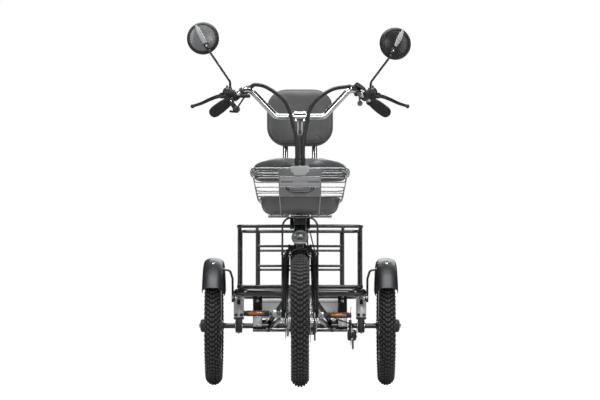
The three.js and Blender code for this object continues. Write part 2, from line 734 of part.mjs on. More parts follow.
const FRONT_FENDER_SECTION = fenderSection([[-39.5, 262], [-35, 275], [-20, 284], [0, 287], [20, 284], [35, 275], [39.5, 262]], 2.5);
add('front_fender', wheelArch(FRONT_FENDER_SECTION, FRONT_AXLE, degrees(93), degrees(196), 9), GLOSS_BLACK());

const FENDER_SECTION = fenderSection([[-46, 262], [-43.5, 282], [-33, 295], [0, 302], [33, 295], [43.5, 282], [46, 262]], 3);
for (const [side, sign] of SIDES) {
  const centre = at(sign * HALF_TRACK, WHEELBASE, WHEEL_RADIUS);
  add(`rear_fender_${side}`, join(
    wheelArch(FENDER_SECTION, centre, degrees(32), degrees(148), 9),
    pipe([
      at(sign * (HALF_TRACK - 44), WHEELBASE - 120, 512),
      at(sign * 318, WHEELBASE - 120, 480),
      at(sign * 296, WHEELBASE - 120, 418),
      at(sign * 296, WHEELBASE - 120, 366),
    ], 5, 14, 6, 2),
  ), GLOSS_BLACK());
}

// The space that a brake disc needs to turn in.
function discSlot(centre) {
  return wheelTurned([[0, -2.2], [ROTOR_RADIUS + 3, -2.2], [ROTOR_RADIUS + 3, 2.2], [0, 2.2]], centre, 16);
}

const FRONT_CALIPER = at(FRONT_ROTOR_X + 6, 78, 230);
add('front_brake_caliper', cut(
  box(34, 42, 46, FRONT_CALIPER),
  discSlot(at(FRONT_ROTOR_X, 0, WHEEL_RADIUS)),
  rod(at(LEG_FOOT_X, 8, 262), CALIPER_ARM_FOOT, 7.5, 6),
), SATIN_BLACK());

// ---------------------------------------------------------------- drive train

const CRANK_CENTRE = at(0, CRANK_BEHIND, CRANK_Z);
const PEDAL_X = { left: 164, right: -178 };
const ARM_ROOT_X = { left: 60, right: -64 };
const ARM_TIP_X = { left: 92, right: -104 };
const SPINDLE_RADIUS = 8;
const PEDAL_THREAD_RADIUS = 6;

// The end of a crank: the right one points forward and the left one back.
function pedalAxis(side) {
  const forward = side === 'right' ? -1 : 1;
  return at(ARM_TIP_X[side], CRANK_BEHIND + forward * CRANK_LENGTH, CRANK_Z);
}

function crankArm(side, sign) {
  const root = at(ARM_ROOT_X[side] + sign * 7, CRANK_BEHIND, CRANK_Z);
  const tip = pedalAxis(side);
  return [
    rod(root.clone().setX(ARM_ROOT_X[side]), root.clone().setX(ARM_ROOT_X[side] + sign * 20), 19, 12),
    rod(root.clone().setX(ARM_ROOT_X[side] + sign * 10), tip, 13, 6, 10),
    rod(tip.clone().setX(tip.x - 8), tip.clone().setX(tip.x + 8), 14, 10),
  ];
}

const centreline = (x) => at(x, CRANK_BEHIND, CRANK_Z);
add('crank_arm_right', join(
  crankArm('right', -1),
  turned([[0, -2], [CHAINRING_PITCH_RADIUS - 6, -2], [CHAINRING_PITCH_RADIUS - 6, 2], [0, 2]],
    centreline(CHAIN_X), centreline(CHAIN_X - 1), 24),
  turned([[0, 6], [CHAINRING_PITCH_RADIUS + 12, 6], [CHAINRING_PITCH_RADIUS + 12, 9], [0, 9]],
    centreline(CHAIN_X), centreline(CHAIN_X - 1), 24),
  rod(centreline(CHAIN_X - 1), centreline(ARM_ROOT_X.right - 4), 18, 12),
), STEEL());
add('crank_arm_left', join(
  crankArm('left', 1),
  rod(centreline(CHAIN_X + 3), centreline(ARM_ROOT_X.left + 4), SPINDLE_RADIUS, 8),
), STEEL());

const PEDAL_LENGTH = 62;
const PEDAL_WIDTH = 106;
for (const [side, sign] of SIDES) {
  const axis = pedalAxis(side);
  const inner = axis.clone().setX(axis.x + sign * 12);
  const middle = axis.clone().setX(PEDAL_X[side]);
  const halfWidth = PEDAL_WIDTH / 2;
  add(`pedal_${side}`, join(
    rod(inner, middle.clone().setX(middle.x + sign * halfWidth), 8, 8),
    box(PEDAL_WIDTH, 14, 24, middle.clone().setY(middle.y - PEDAL_LENGTH / 2)),
    box(PEDAL_WIDTH, 14, 24, middle.clone().setY(middle.y + PEDAL_LENGTH / 2)),
    box(8, PEDAL_LENGTH + 10, 18, middle.clone().setX(middle.x - halfWidth + 4)),
    box(8, PEDAL_LENGTH + 10, 18, middle.clone().setX(middle.x + halfWidth - 4)),
  ), SATIN_BLACK());
}

// The outline of the chain, a given distance outside (or inside) the pitch line.
function chainOutline(offset) {
  const spread = WHEELBASE - CRANK_BEHIND;
  const drop = WHEEL_RADIUS - CRANK_Z;
  const big = CHAINRING_PITCH_RADIUS + offset;
  const small = SPROCKET_PITCH_RADIUS + offset;
  const lean = Math.atan2(drop, spread);
  const wrap = Math.acos((big - small) / Math.hypot(spread, drop));
  const points = [];
  const arc = (cx, cz, radius, from, to, steps) => {
    for (let i = 0; i <= steps; i += 1) {
      const angle = lean + THREE.MathUtils.lerp(from, to, i / steps);
      points.push([cx + radius * Math.cos(angle), cz + radius * Math.sin(angle)]);
    }
  };
  arc(0, 0, big, wrap, 2 * Math.PI - wrap, 14);
  arc(spread, drop, small, -wrap, wrap, 8);
  return points;
}
const chainShape = shapeOf(chainOutline(4.5));
chainShape.holes.push(new THREE.Path(chainOutline(-4).map(([x, y]) => new THREE.Vector2(x, y))));
const CHAIN_WIDTH = 7;
const chain = new THREE.ExtrudeGeometry(chainShape, { depth: CHAIN_WIDTH, bevelEnabled: false });
chain.rotateY(Math.PI / 2);
chain.rotateX(Math.PI / 2);
chain.translate(CHAIN_X - CHAIN_WIDTH / 2, CRANK_CENTRE.y, CRANK_CENTRE.z);
add('chain', closedForm(chain), STEEL());

const axleLine = (x) => at(x, WHEELBASE, WHEEL_RADIUS);
const CASE_HALF = 40;
add('differential', join(
  turned([
    [0, -REAR_SHAFT_INNER_END + 2], [clearOf(AXLE_RADIUS, 14), -REAR_SHAFT_INNER_END + 2],
    [clearOf(AXLE_RADIUS, 14), -CASE_HALF], [28, -CASE_HALF], [42, -24], [42, 24], [28, CASE_HALF],
    [clearOf(AXLE_RADIUS, 14), CASE_HALF], [clearOf(AXLE_RADIUS, 14), REAR_SHAFT_INNER_END - 2],
    [0, REAR_SHAFT_INNER_END - 2],
  ], axleLine(0), axleLine(1), 14),
  ring(26, clearOf(AXLE_RADIUS, 14), axleLine(-CASE_HALF + 3), axleLine(CHAIN_X), 14),
  ring(SPROCKET_PITCH_RADIUS - 6, clearOf(AXLE_RADIUS, 14), axleLine(CHAIN_X + 2), axleLine(CHAIN_X - 2), 14),
), SATIN_BLACK());

// ---------------------------------------------------------------- frame

const SHELL_RADIUS = 21;
const SHELL_HALF = 34;
const SEAT_TUBE_RADIUS = 19;
const INNER_BEARING_X = 148;
const INNER_BEARING_WIDTH = 48;
const MAIN_TUBE_RADIUS = 25;

function bearingBlock(x, width, height) {
  return box(width, 52, height, axleLine(x));
}

const headCentre = onSteeringAxis(690);
const frameTubes = join(
  rod(onSteeringAxis(HEAD_TUBE_LOW_Z), onSteeringAxis(HEAD_TUBE_HIGH_Z), HEAD_TUBE_OUTER, 10),
  rod(onSteeringAxis(HEAD_TUBE_LOW_Z), onSteeringAxis(HEAD_TUBE_LOW_Z + 12), HEAD_TUBE_OUTER + 4, 10),
  rod(onSteeringAxis(HEAD_TUBE_HIGH_Z - 12), onSteeringAxis(HEAD_TUBE_HIGH_Z), HEAD_TUBE_OUTER + 4, 10),
  pipe([headCentre, at(0, 400, 338), at(0, 590, 326)], MAIN_TUBE_RADIUS, 90, 8, 3),
  pipe([onSteeringAxis(745), at(0, 400, 520), at(0, 610, 480)], 16, 60, 6, 2),
  rod(at(-SHELL_HALF, CRANK_BEHIND, CRANK_Z), at(SHELL_HALF, CRANK_BEHIND, CRANK_Z), SHELL_RADIUS, 10),
  rod(onSeatAxis(-16), onSeatAxis(SEAT_TUBE_LENGTH), SEAT_TUBE_RADIUS, 10),
  SIDES.map(([, sign]) => [
    rod(at(sign * 12, 618, 440), axleLine(sign * (INNER_BEARING_X - 12)).add(new THREE.Vector3(0, -20, 12)), 11, 6),
    pipe([
      at(sign * 10, 575, 326),
      at(sign * 24, 700, 318),
      at(sign * 92, 960, 285),
      axleLine(sign * (INNER_BEARING_X - 14)).add(new THREE.Vector3(0, -20, -8)),
    ], 11, 60, 6, 1),
    bearingBlock(sign * INNER_BEARING_X, INNER_BEARING_WIDTH, 50),
  ]),
);
add('frame', cut(frameTubes, [
  bore(onSteeringAxis(560), onSteeringAxis(860), STEERER_RADIUS),
  bore(centreline(-60), centreline(60), SPINDLE_RADIUS, 8),
  bore(onSeatAxis(60), onSeatAxis(SEAT_TUBE_LENGTH + 20), SEAT_POST_RADIUS),
  bore(axleLine(-250), axleLine(250), AXLE_RADIUS),
]), GLOSS_BLACK());

// ---------------------------------------------------------------- rear frame and cargo basket

const CROSS_MEMBER = WHEELBASE - 48;
const DROP_PLATE_X = 188;
add('rear_frame', join(
  hoop(LOOP_HALF_WIDTH, LOOP_FRONT, LOOP_BACK, LOOP_Z, LOOP_RADIUS, 70, 8),
  rod(at(-LOOP_HALF_WIDTH, CROSS_MEMBER, LOOP_Z), at(LOOP_HALF_WIDTH, CROSS_MEMBER, LOOP_Z), 12, 8),
  SIDES.map(([, sign]) => [
    box(41, 6, 156, at(sign * DROP_PLATE_X, CROSS_MEMBER, 318)),
  ]),
  rod(at(-209, CROSS_MEMBER - 5, 243), at(209, CROSS_MEMBER - 5, 243), 6, 6),
), GLOSS_BLACK());

const CARRIER_X = 272;
for (const [side, sign] of SIDES) {
  add(`axle_carrier_${side}`, cut(
    join(
      box(45, 5, 84, at(sign * CARRIER_X, WHEELBASE - 24, 344)),
      box(45, 56, 5, at(sign * CARRIER_X, WHEELBASE - 2, 384)),
      box(30, 50, 78, axleLine(sign * CARRIER_X).add(new THREE.Vector3(0, 0, 2))),
    ),
    bore(axleLine(sign * 200), axleLine(sign * 330), AXLE_RADIUS),
  ), SILVER_PAINT());
}

const BASKET_HALF_WIDTH = 267;
const BASKET_FRONT = 872;
const BASKET_BACK = 1268;
const BASKET_MIDDLE = (BASKET_FRONT + BASKET_BACK) / 2;
const INNER_POST_X = 186;
const MID_RAILS_Z = [519, 605];

function post(x, behind) {
  return rod(at(x, behind, BASKET_BASE_Z), at(x, behind, BASKET_TOP_Z), 6.5, 4);
}

function rail(fromX, fromBehind, toX, toBehind, z) {
  return rod(at(fromX, fromBehind, z), at(toX, toBehind, z), 5.5, 4);
}

const basketPosts = [];
for (const x of [-INNER_POST_X, INNER_POST_X, -62, 62]) {
  basketPosts.push(rail(x, BASKET_FRONT, x, BASKET_BACK, BASKET_BASE_Z));
}
for (const behind of [BASKET_FRONT, BASKET_BACK]) {
  basketPosts.push(post(-INNER_POST_X, behind), post(INNER_POST_X, behind));
  basketPosts.push(post(-BASKET_HALF_WIDTH + 2, behind + (behind < BASKET_MIDDLE ? 18 : -18)));
  basketPosts.push(post(BASKET_HALF_WIDTH - 2, behind + (behind < BASKET_MIDDLE ? 18 : -18)));
  for (const z of MID_RAILS_Z) {
    basketPosts.push(rail(-INNER_POST_X, behind, INNER_POST_X, behind, z));
  }
}
for (const sign of [1, -1]) {
  basketPosts.push(post(sign * BASKET_HALF_WIDTH, BASKET_MIDDLE));
  for (const z of MID_RAILS_Z) {
    basketPosts.push(rail(sign * (BASKET_HALF_WIDTH - 1), BASKET_FRONT + 18,
      sign * (BASKET_HALF_WIDTH - 1), BASKET_BACK - 18, z));
  }
}
add('cargo_basket', join(
  hoop(BASKET_HALF_WIDTH, BASKET_FRONT, BASKET_BACK, BASKET_BASE_Z, BASKET_RAIL_RADIUS, 30, 6),
  hoop(BASKET_HALF_WIDTH, BASKET_FRONT, BASKET_BACK, BASKET_TOP_Z, BASKET_RAIL_RADIUS, 30, 6),
  basketPosts,
), GLOSS_BLACK());

add('battery_case', box(350, 60, 88, at(0, WHEELBASE + 112, 343.9)), CASE_GREY());

const REAR_CALIPER = at(REAR_ROTOR_X + 2, WHEELBASE - 84, 222);
add('rear_brake_caliper', cut(
  join(box(40, 40, 54, REAR_CALIPER), box(6, 66, 20, REAR_CALIPER.clone().add(new THREE.Vector3(-17, 28, 18)))),
  discSlot(axleLine(REAR_ROTOR_X)),
), SATIN_BLACK());

// The rear brake cable leaves the head tube, follows the main tube and one stay, and drops to the caliper.
const REAR_CABLE_RADIUS = 3;
const REAR_CABLE_ROUTE = [
  [30, 240, 640], [31, 290, 560], [31, 350, 445], [32, 420, 385], [32, 520, 372], [40, 620, 352],
  [70, 760, 338], [112, 930, 318], [160, 1010, 292], [212, 1036, 275], [236, 1050, 264], [238, 1056, 253.5],
];
add('rear_cable', cable(REAR_CABLE_ROUTE.map((point) => at(...point)), REAR_CABLE_RADIUS, 5, 24), RUBBER());

// ---------------------------------------------------------------- seat

const CLAMP_LOW = SEAT_TUBE_LENGTH - 20;
const clampLug = onSeatAxis(CLAMP_LOW + 10).add(new THREE.Vector3(0, 30, -6));
add('seat_clamp', cut(
  join(
    rod(onSeatAxis(CLAMP_LOW), onSeatAxis(SEAT_TUBE_LENGTH), SEAT_TUBE_RADIUS + 5, 12),
    box(20, 18, 16, clampLug),
  ),
  bore(onSeatAxis(CLAMP_LOW - 20), onSeatAxis(SEAT_TUBE_LENGTH + 20), SEAT_TUBE_RADIUS),
), SATIN_BLACK());
add('seat_clamp_lever', join(
  rod(clampLug.clone().setX(10 + GAP), clampLug.clone().setX(20), 7, 8),
  box(7, 9, 58, clampLug.clone().add(new THREE.Vector3(16.4, 6, -27))),
), SATIN_BLACK());

const SEAT_POST_LENGTH = 300;
const POST_TOP = onSeatAxis(SEAT_TUBE_LENGTH + 150);
add('seat_post', rod(onSeatAxis(SEAT_TUBE_LENGTH + 150 - SEAT_POST_LENGTH), POST_TOP, SEAT_POST_RADIUS, 12), CHROME());

const SADDLE_BEHIND = 790;
const PAN_Z = 858;
add('saddle_pan', join(
  cut(
    box(46, 60, 62, POST_TOP.clone().add(new THREE.Vector3(0, 4, 14))),
    bore(onSeatAxis(200), POST_TOP.clone().addScaledVector(SEAT_UP, GAP), SEAT_POST_RADIUS),
  ),
  box(150, 190, 8, at(0, SADDLE_BEHIND + 10, PAN_Z + 16)),
  box(60, 60, 16, at(0, SADDLE_BEHIND - 18, PAN_Z + 8)),
), SATIN_BLACK());

// Saddle outline from above: a short nose in front and two broad lobes behind.
const saddleOutline = new THREE.Shape();
saddleOutline.moveTo(0, -160);
saddleOutline.bezierCurveTo(60, -160, 70, -90, 105, -40);
saddleOutline.bezierCurveTo(150, 20, 192, 30, 192, 85);
saddleOutline.bezierCurveTo(192, 150, 60, 160, 0, 135);
saddleOutline.bezierCurveTo(-60, 160, -192, 150, -192, 85);
saddleOutline.bezierCurveTo(-192, 30, -150, 20, -105, -40);
saddleOutline.bezierCurveTo(-70, -90, -60, -160, 0, -160);
const saddle = new THREE.ExtrudeGeometry(saddleOutline, {
  depth: 72, curveSegments: 4, bevelThickness: 18, bevelSize: 16, bevelOffset: -8, bevelSegments: 2,
});
saddle.translate(0, FRONT_AXLE_Y + SADDLE_BEHIND, PAN_Z + 16 + 4 + 18 + GAP);
add('saddle', closedForm(saddle), LEATHER());

const BACKREST_POST_X = 64;
const BACKREST_LEAN = degrees(8);
add('backrest_frame', join(
  SIDES.map(([, sign]) => pipe([
    at(sign * BACKREST_POST_X, SADDLE_BEHIND - 84, PAN_Z - 2),
    at(sign * BACKREST_POST_X, 960, PAN_Z - 2),
    at(sign * BACKREST_POST_X, 1006, 1225),
  ], 11.5, 50, 8, 4)),
  rod(at(-BACKREST_POST_X, SADDLE_BEHIND - 75, PAN_Z - 2), at(BACKREST_POST_X, SADDLE_BEHIND - 75, PAN_Z - 2), 9, 6),
  rod(at(-BACKREST_POST_X, 1001, 1190), at(BACKREST_POST_X, 1001, 1190), 9, 6),
), CHROME());

const BACKREST_HALF_WIDTH = 142;
const BACKREST_HALF_HEIGHT = 125;
const backrest = new THREE.ExtrudeGeometry(
  shapeOf(roundedRectangle(BACKREST_HALF_WIDTH - 12, BACKREST_HALF_HEIGHT - 12, 78, 5)),
  { depth: 22, bevelThickness: 14, bevelSize: 12, bevelSegments: 2 },
);
backrest.rotateX(Math.PI / 2 - BACKREST_LEAN);
backrest.translate(0, FRONT_AXLE_Y + 966, 1172);
add('backrest', closedForm(backrest), LEATHER());

export default tricycle;
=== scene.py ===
"""Looks of an adult cargo tricycle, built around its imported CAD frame.

Metres, +Z up, and the tricycle faces -Y. Sizes and points in this file are written in millimetres and
turned into metres by at() and MM. "Behind" is the distance behind the front axle.
"""

import math

import bmesh
import bpy
from mathutils import Matrix, Vector, bvhtree, geometry, kdtree


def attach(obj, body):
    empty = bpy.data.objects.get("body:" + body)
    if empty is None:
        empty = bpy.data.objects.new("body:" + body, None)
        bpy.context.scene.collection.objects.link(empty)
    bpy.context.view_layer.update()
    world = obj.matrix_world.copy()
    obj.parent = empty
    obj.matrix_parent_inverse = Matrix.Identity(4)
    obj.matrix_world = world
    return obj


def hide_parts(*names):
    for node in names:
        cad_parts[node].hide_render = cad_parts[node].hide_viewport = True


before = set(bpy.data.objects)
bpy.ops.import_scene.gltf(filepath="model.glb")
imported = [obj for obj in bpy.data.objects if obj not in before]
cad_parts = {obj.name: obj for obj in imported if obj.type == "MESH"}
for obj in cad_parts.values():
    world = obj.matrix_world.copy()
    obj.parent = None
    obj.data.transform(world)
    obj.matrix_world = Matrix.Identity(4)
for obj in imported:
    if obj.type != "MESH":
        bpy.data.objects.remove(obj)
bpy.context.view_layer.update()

MM = 0.001
TURN = 2 * math.pi
FRONT_AXLE_Y = -575
WHEELBASE = 1150
WHEEL_RADIUS = 265
HALF_TRACK = 382
HEAD_ANGLE = math.radians(70)
SEAT_ANGLE = math.radians(68)
SIDES = (("left", 1), ("right", -1))
X = Vector((1, 0, 0))
Y = Vector((0, 1, 0))
Z = Vector((0, 0, 1))


def placed(name, data):
    """A new object in the scene."""
    obj = bpy.data.objects.new(name, data)
    bpy.context.scene.collection.objects.link(obj)
    return obj


# ---------------------------------------------------------------- camera

CAMERA_DISTANCE = 9.504
CAMERA_HEIGHT = 0.073
CAMERA_PITCH = math.radians(90 + 4.04)
camera_data = bpy.data.cameras.new("camera")
camera_data.lens = 143.5
camera_data.sensor_width = 36
camera = placed("camera", camera_data)
camera.location = (0, FRONT_AXLE_Y * MM - CAMERA_DISTANCE, CAMERA_HEIGHT)
camera.rotation_euler = (CAMERA_PITCH, 0, 0)
bpy.context.scene.camera = camera


# ---------------------------------------------------------------- points and paths


def mm(x, y, z):
    """A vector given in millimetres."""
    return Vector((x, y, z)) * MM


def at(x, behind, z):
    """A point given as across, distance behind the front axle, and height, in millimetres."""
    return mm(x, FRONT_AXLE_Y + behind, z)


STEER_UP = Vector((0, math.cos(HEAD_ANGLE), math.sin(HEAD_ANGLE)))
SEAT_UP = Vector((0, math.cos(SEAT_ANGLE), math.sin(SEAT_ANGLE)))
STEER_FOOT = at(0, 45 / math.sin(HEAD_ANGLE), WHEEL_RADIUS)
SEAT_FOOT = at(0, 560, 330)


def on_steering_axis(z):
    return STEER_FOOT + STEER_UP * ((z - WHEEL_RADIUS) * MM / STEER_UP.z)


def on_seat_axis(distance):
    return SEAT_FOOT + SEAT_UP * (distance * MM)


def beside(sign, point):
    """A point given for the left side, on the side that the sign tells."""
    return at(sign * point[0], *point[1:])


def bent(corners, bend, steps=6):
    """A path through corner points, with every inner corner rounded."""
    path = [corners[0]]
    for before, corner, after in zip(corners, corners[1:], corners[2:]):
        into = (corner - before).normalized()
        out = (after - corner).normalized()
        setback = bend * MM * math.tan(into.angle(out) / 2)
        start = corner - into * setback
        end = corner + out * setback
        for i in range(steps + 1):
            t = i / steps
            path.append(start.lerp(corner, t).lerp(corner.lerp(end, t), t))
    path.append(corners[-1])
    return path


def flowing(points, steps=6):
    """A smooth path through points (Catmull-Rom)."""
    ends = [points[0] * 2 - points[1], *points, points[-1] * 2 - points[-2]]
    path = []
    for a, b, c, d in zip(ends, ends[1:], ends[2:], ends[3:]):
        for i in range(steps):
            t = i / steps
            path.append(0.5 * (2 * b + (c - a) * t + (2 * a - 5 * b + 4 * c - d) * t * t
                               + (3 * b - a - 3 * c + d) * t ** 3))
    path.append(points[-1])
    return path


def along(path, step):
    """The same path with a point about every step millimetres."""
    lengths = [0.0]
    for a, b in zip(path, path[1:]):
        lengths.append(lengths[-1] + (b - a).length)
    count = max(2, round(lengths[-1] / (step * MM)))
    points, i = [], 0
    for k in range(count + 1):
        goal = lengths[-1] * k / count
        while i < len(path) - 2 and lengths[i + 1] < goal:
            i += 1
        run = lengths[i + 1] - lengths[i]
        points.append(path[i].lerp(path[i + 1], min(1.0, (goal - lengths[i]) / run) if run else 0.0))
    return points


def level_loop(half_width, front, back, z, bend, steps=6):
    """A closed level path around a rectangle with rounded corners."""
    corners = [(half_width, front), (half_width, back), (-half_width, back), (-half_width, front)]
    path = []
    for i, (x, y) in enumerate(corners):
        toward_last = corners[i - 1]
        toward_next = corners[(i + 1) % len(corners)]
        corner = Vector((x, y))
        into = (corner - Vector(toward_last)).normalized()
        out = (Vector(toward_next) - corner).normalized()
        centre = corner - into * bend + out * bend
        start = math.atan2(*(corner - into * bend - centre).yx)
        for k in range(steps + 1):
            angle = start + math.radians(90) * k / steps
            path.append(at(centre.x + bend * math.cos(angle), centre.y + bend * math.sin(angle), z))
    return path


def circle(radius, sides, start=0.0):
    """Points of a circle, as pairs."""
    return [(radius * math.cos(start + TURN * i / sides), radius * math.sin(start + TURN * i / sides))
            for i in range(sides)]


def both_ways(half):
    """A profile of (radius, distance) pairs with the same half on each side of its middle."""
    return [(radius, -distance) for radius, distance in half] + half[::-1]


def rounded_rectangle(half_width, half_height, radius, steps=4):
    """A rectangle outline with rounded corners, as pairs."""
    outline = []
    for quarter, (sx, sy) in enumerate(((1, 1), (-1, 1), (-1, -1), (1, -1))):
        for i in range(steps + 1):
            angle = math.radians(90) * (quarter + i / steps)
            outline.append((sx * (half_width - radius) + radius * math.cos(angle),
                            sy * (half_height - radius) + radius * math.sin(angle)))
    return outline


def facing(centre, forward, up=Z):
    """A place whose z axis looks forward and whose y axis is as near up as it can be."""
    z = forward.normalized()
    x = up.cross(z).normalized()
    y = z.cross(x)
    turn = Matrix((x, y, z)).transposed().to_4x4()
    return Matrix.Translation(centre) @ turn


# ---------------------------------------------------------------- shapes


class Shape:
    """Collects closed surfaces, each with its material, for one piece."""

    def __init__(self):
        self.bm = bmesh.new()
        self.materials = []

    def index_of(self, material):
        if material not in self.materials:
            self.materials.append(material)
        return self.materials.index(material)

    def skin(self, rings, material, loop=False, caps=(True, True)):
        """Joins rings that have the same number of points into a surface."""
        index = self.index_of(material)
        rows = [[self.bm.verts.new(point) for point in ring] for ring in rings]
        faces = []
        for low, high in zip(rows, rows[1:] + rows[:1] if loop else rows[1:]):
            count = len(low)
            for i in range(count):
                j = (i + 1) % count
                faces.append((low[i], low[j], high[j], high[i]))
        if not loop and caps[0]:
            faces.append(rows[0][::-1])
        if not loop and caps[1]:
            faces.append(rows[-1])
        for corners in faces:
            self.bm.faces.new(corners).material_index = index

    def absorb(self, other, material):
        """Takes in another bmesh, all of one material."""
        index = self.index_of(material)
        for face in other.faces:
            face.material_index = index
        mesh = bpy.data.meshes.new("passing")
        other.to_mesh(mesh)
        other.free()
        self.bm.from_mesh(mesh)
        bpy.data.meshes.remove(mesh)

    def sweep(self, path, section, material, up=None, scales=None, loop=False):
        """Moves a section, given as (across, up) pairs, along a path."""
        count = len(path)
        rings = []
        side = None
        for i, point in enumerate(path):
            before = path[i - 1] if loop or i > 0 else point
            after = path[(i + 1) % count] if loop or i < count - 1 else point
            tangent = (after - before).normalized()
            if up is not None:
                side = tangent.cross(up).normalized()
            elif side is None:
                side = tangent.orthogonal().normalized()
            else:
                side = (side - tangent * side.dot(tangent)).normalized()
            top = side.cross(tangent)
            scale = MM * (scales[i] if scales else 1.0)
            rings.append([point + (side * a + top * b) * scale for a, b in section])
        self.skin(rings, material, loop=loop)

    def tube(self, path, radius, material, sides=16, loop=False, scales=None):
        self.sweep(path, circle(radius, sides), material, loop=loop, scales=scales)

    def rod(self, start, end, radius, material, sides=16, rounding=0.0):
        """A straight round bar, whose ends may be rounded off."""
        length = (end - start).length / MM
        soft = min(rounding, length / 2)
        self.lathe([(radius - soft, 0), (radius, soft), (radius, length - soft), (radius - soft, length)]
                   if soft else [(radius, 0), (radius, length)], start, end, material, sides)

    def lathe(self, profile, start, towards, material, segments=28, loop=False):
        """Turns a profile of (radius, distance) pairs about the line from start towards a point."""
        axis = (towards - start).normalized()
        across = axis.orthogonal().normalized()
        if abs(axis.dot(Z)) < 0.9:
            across = (Z - axis * Z.dot(axis)).normalized()
        other = axis.cross(across)
        rings = []
        for radius, distance in profile:
            centre = start + axis * (distance * MM)
            rings.append([centre + (across * a + other * b) * MM for a, b in circle(radius, segments)])
        self.skin(rings, material, loop=loop, caps=(profile[0][0] > 0, profile[-1][0] > 0))

    def ball(self, centre, radius, material, segments=14, squeeze=1.0, axis=Z):
        """A ball, or a flattened one, about an axis."""
        half = segments // 2
        profile = [(radius * math.sin(math.pi * i / half), -radius * squeeze * math.cos(math.pi * i / half))
                   for i in range(half + 1)]
        profile[0] = (0, profile[0][1])
        profile[-1] = (0, profile[-1][1])
        self.lathe(profile, centre, centre + axis, material, segments)

    def block(self, size, centre, material, bevel=2.0, turn=None, segments=2):
        """A box with rounded edges."""
        other = bmesh.new()
        place = Matrix.Translation(centre) @ (turn or Matrix())
        bmesh.ops.create_cube(other, size=1.0, matrix=place @ Matrix.Diagonal((*[s * MM for s in size], 1)))
        bmesh.ops.bevel(other, geom=other.edges[:], offset=min(bevel, min(size) * 0.45) * MM,
                        segments=segments, profile=0.5, affect="EDGES")
        self.absorb(other, material)

    def plate(self, outline, thickness, place, material, holes=(), bevel=0.0):
        """A flat outline in a place's x and y, thickened along its z, with holes."""
        loops = [outline, *holes]
        other = bmesh.new()
        rows = []
        for level in (-thickness / 2, thickness / 2):
            rows.append([[other.verts.new(place @ mm(x, y, level)) for x, y in loop]
                         for loop in loops])
        triangles = geometry.tessellate_polygon([[Vector((x, y, 0)) for x, y in loop] for loop in loops])
        for row in rows:
            points = [vert for loop in row for vert in loop]
            for triangle in triangles:
                other.faces.new([points[i] for i in triangle])
        rims = []
        for low, high in zip(*rows):
            for i in range(len(low)):
                j = (i + 1) % len(low)
                other.faces.new((low[i], low[j], high[j], high[i]))
            rims += [other.edges.get((row[i], row[(i + 1) % len(row)])) for row in (low, high)
                     for i in range(len(row))]
        if bevel:
            bmesh.ops.recalc_face_normals(other, faces=other.faces[:])
            bmesh.ops.bevel(other, geom=rims, offset=bevel * MM, segments=2, profile=0.5, affect="EDGES")
        self.absorb(other, material)

    def bolt(self, centre, outward, radius, material, height=None):
        """A hexagon bolt head on a washer."""
        tall = height or radius * 0.7
        self.lathe([(radius * 1.35, 0), (radius * 1.35, tall * 0.2)], centre, centre + outward, material,
                   18)
        start = centre + outward.normalized() * (tall * 0.2 * MM)
        self.lathe([(radius, 0), (radius, tall * 0.8), (radius * 0.82, tall)], start, start + outward,
                   material, 6)

    def nut_cap(self, centre, outward, radius, material, height):
        """A domed cap."""
        self.lathe([(radius, 0), (radius, height * 0.5), (radius * 0.85, height * 0.8),
                    (radius * 0.45, height), (0, height)], centre, centre + outward, material, 18)

    def weld(self, centre, along_axis, radius, material, thickness=2.4):
        """A weld bead around a tube."""
        ring = [(radius + thickness * math.cos(TURN * i / 6),
                 thickness * math.sin(TURN * i / 6)) for i in range(6)]
        self.lathe(ring, centre, centre + along_axis, material, 24, loop=True)


def mesh_from(shape, name):
    """The collected surfaces as one mesh, with doubled points joined and every face turned outward."""
    bm = shape.bm
    bmesh.ops.remove_doubles(bm, verts=bm.verts[:], dist=1e-6)
    bmesh.ops.recalc_face_normals(bm, faces=bm.faces[:])
    mesh = bpy.data.meshes.new(name)
    bm.to_mesh(mesh)
    bm.free()
    return mesh


def piece(name, shape, body, replaces=(), sharp=38):
    """Makes the collected shape one object that rides on a body."""
    mesh = mesh_from(shape, name)
    for material in shape.materials:
        mesh.materials.append(material)
    mesh.shade_smooth()
    mesh.set_sharp_from_angle(angle=math.radians(sharp))
    obj = placed(name, mesh)
    if replaces:
        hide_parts(*replaces)
    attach(obj, body)
    return obj


# ---------------------------------------------------------------- materials


def ramp(nodes, ends, between=()):
    """A colour ramp: its two end stops, then any others, as (position, colour) pairs."""
    node = nodes.new("ShaderNodeValToRGB")
    elements = node.color_ramp.elements
    for i, (position, colour) in enumerate(ends):
        elements[i].position = position
        elements[i].color = (*colour, 1)
    for position, colour in between:
        elements.new(position).color = (*colour, 1)
    return node


def grey(tone):
    return (tone, tone, tone)


def laid_over(tree, paint, share, colour):
    """A paint with a colour over it, as strongly as the share says."""
    node = tree.nodes.new("ShaderNodeMixRGB")
    tree.links.new(share, node.inputs["Fac"])
    tree.links.new(paint, node.inputs["Color1"])
    node.inputs["Color2"].default_value = (*colour, 1)
    return node.outputs["Color"]


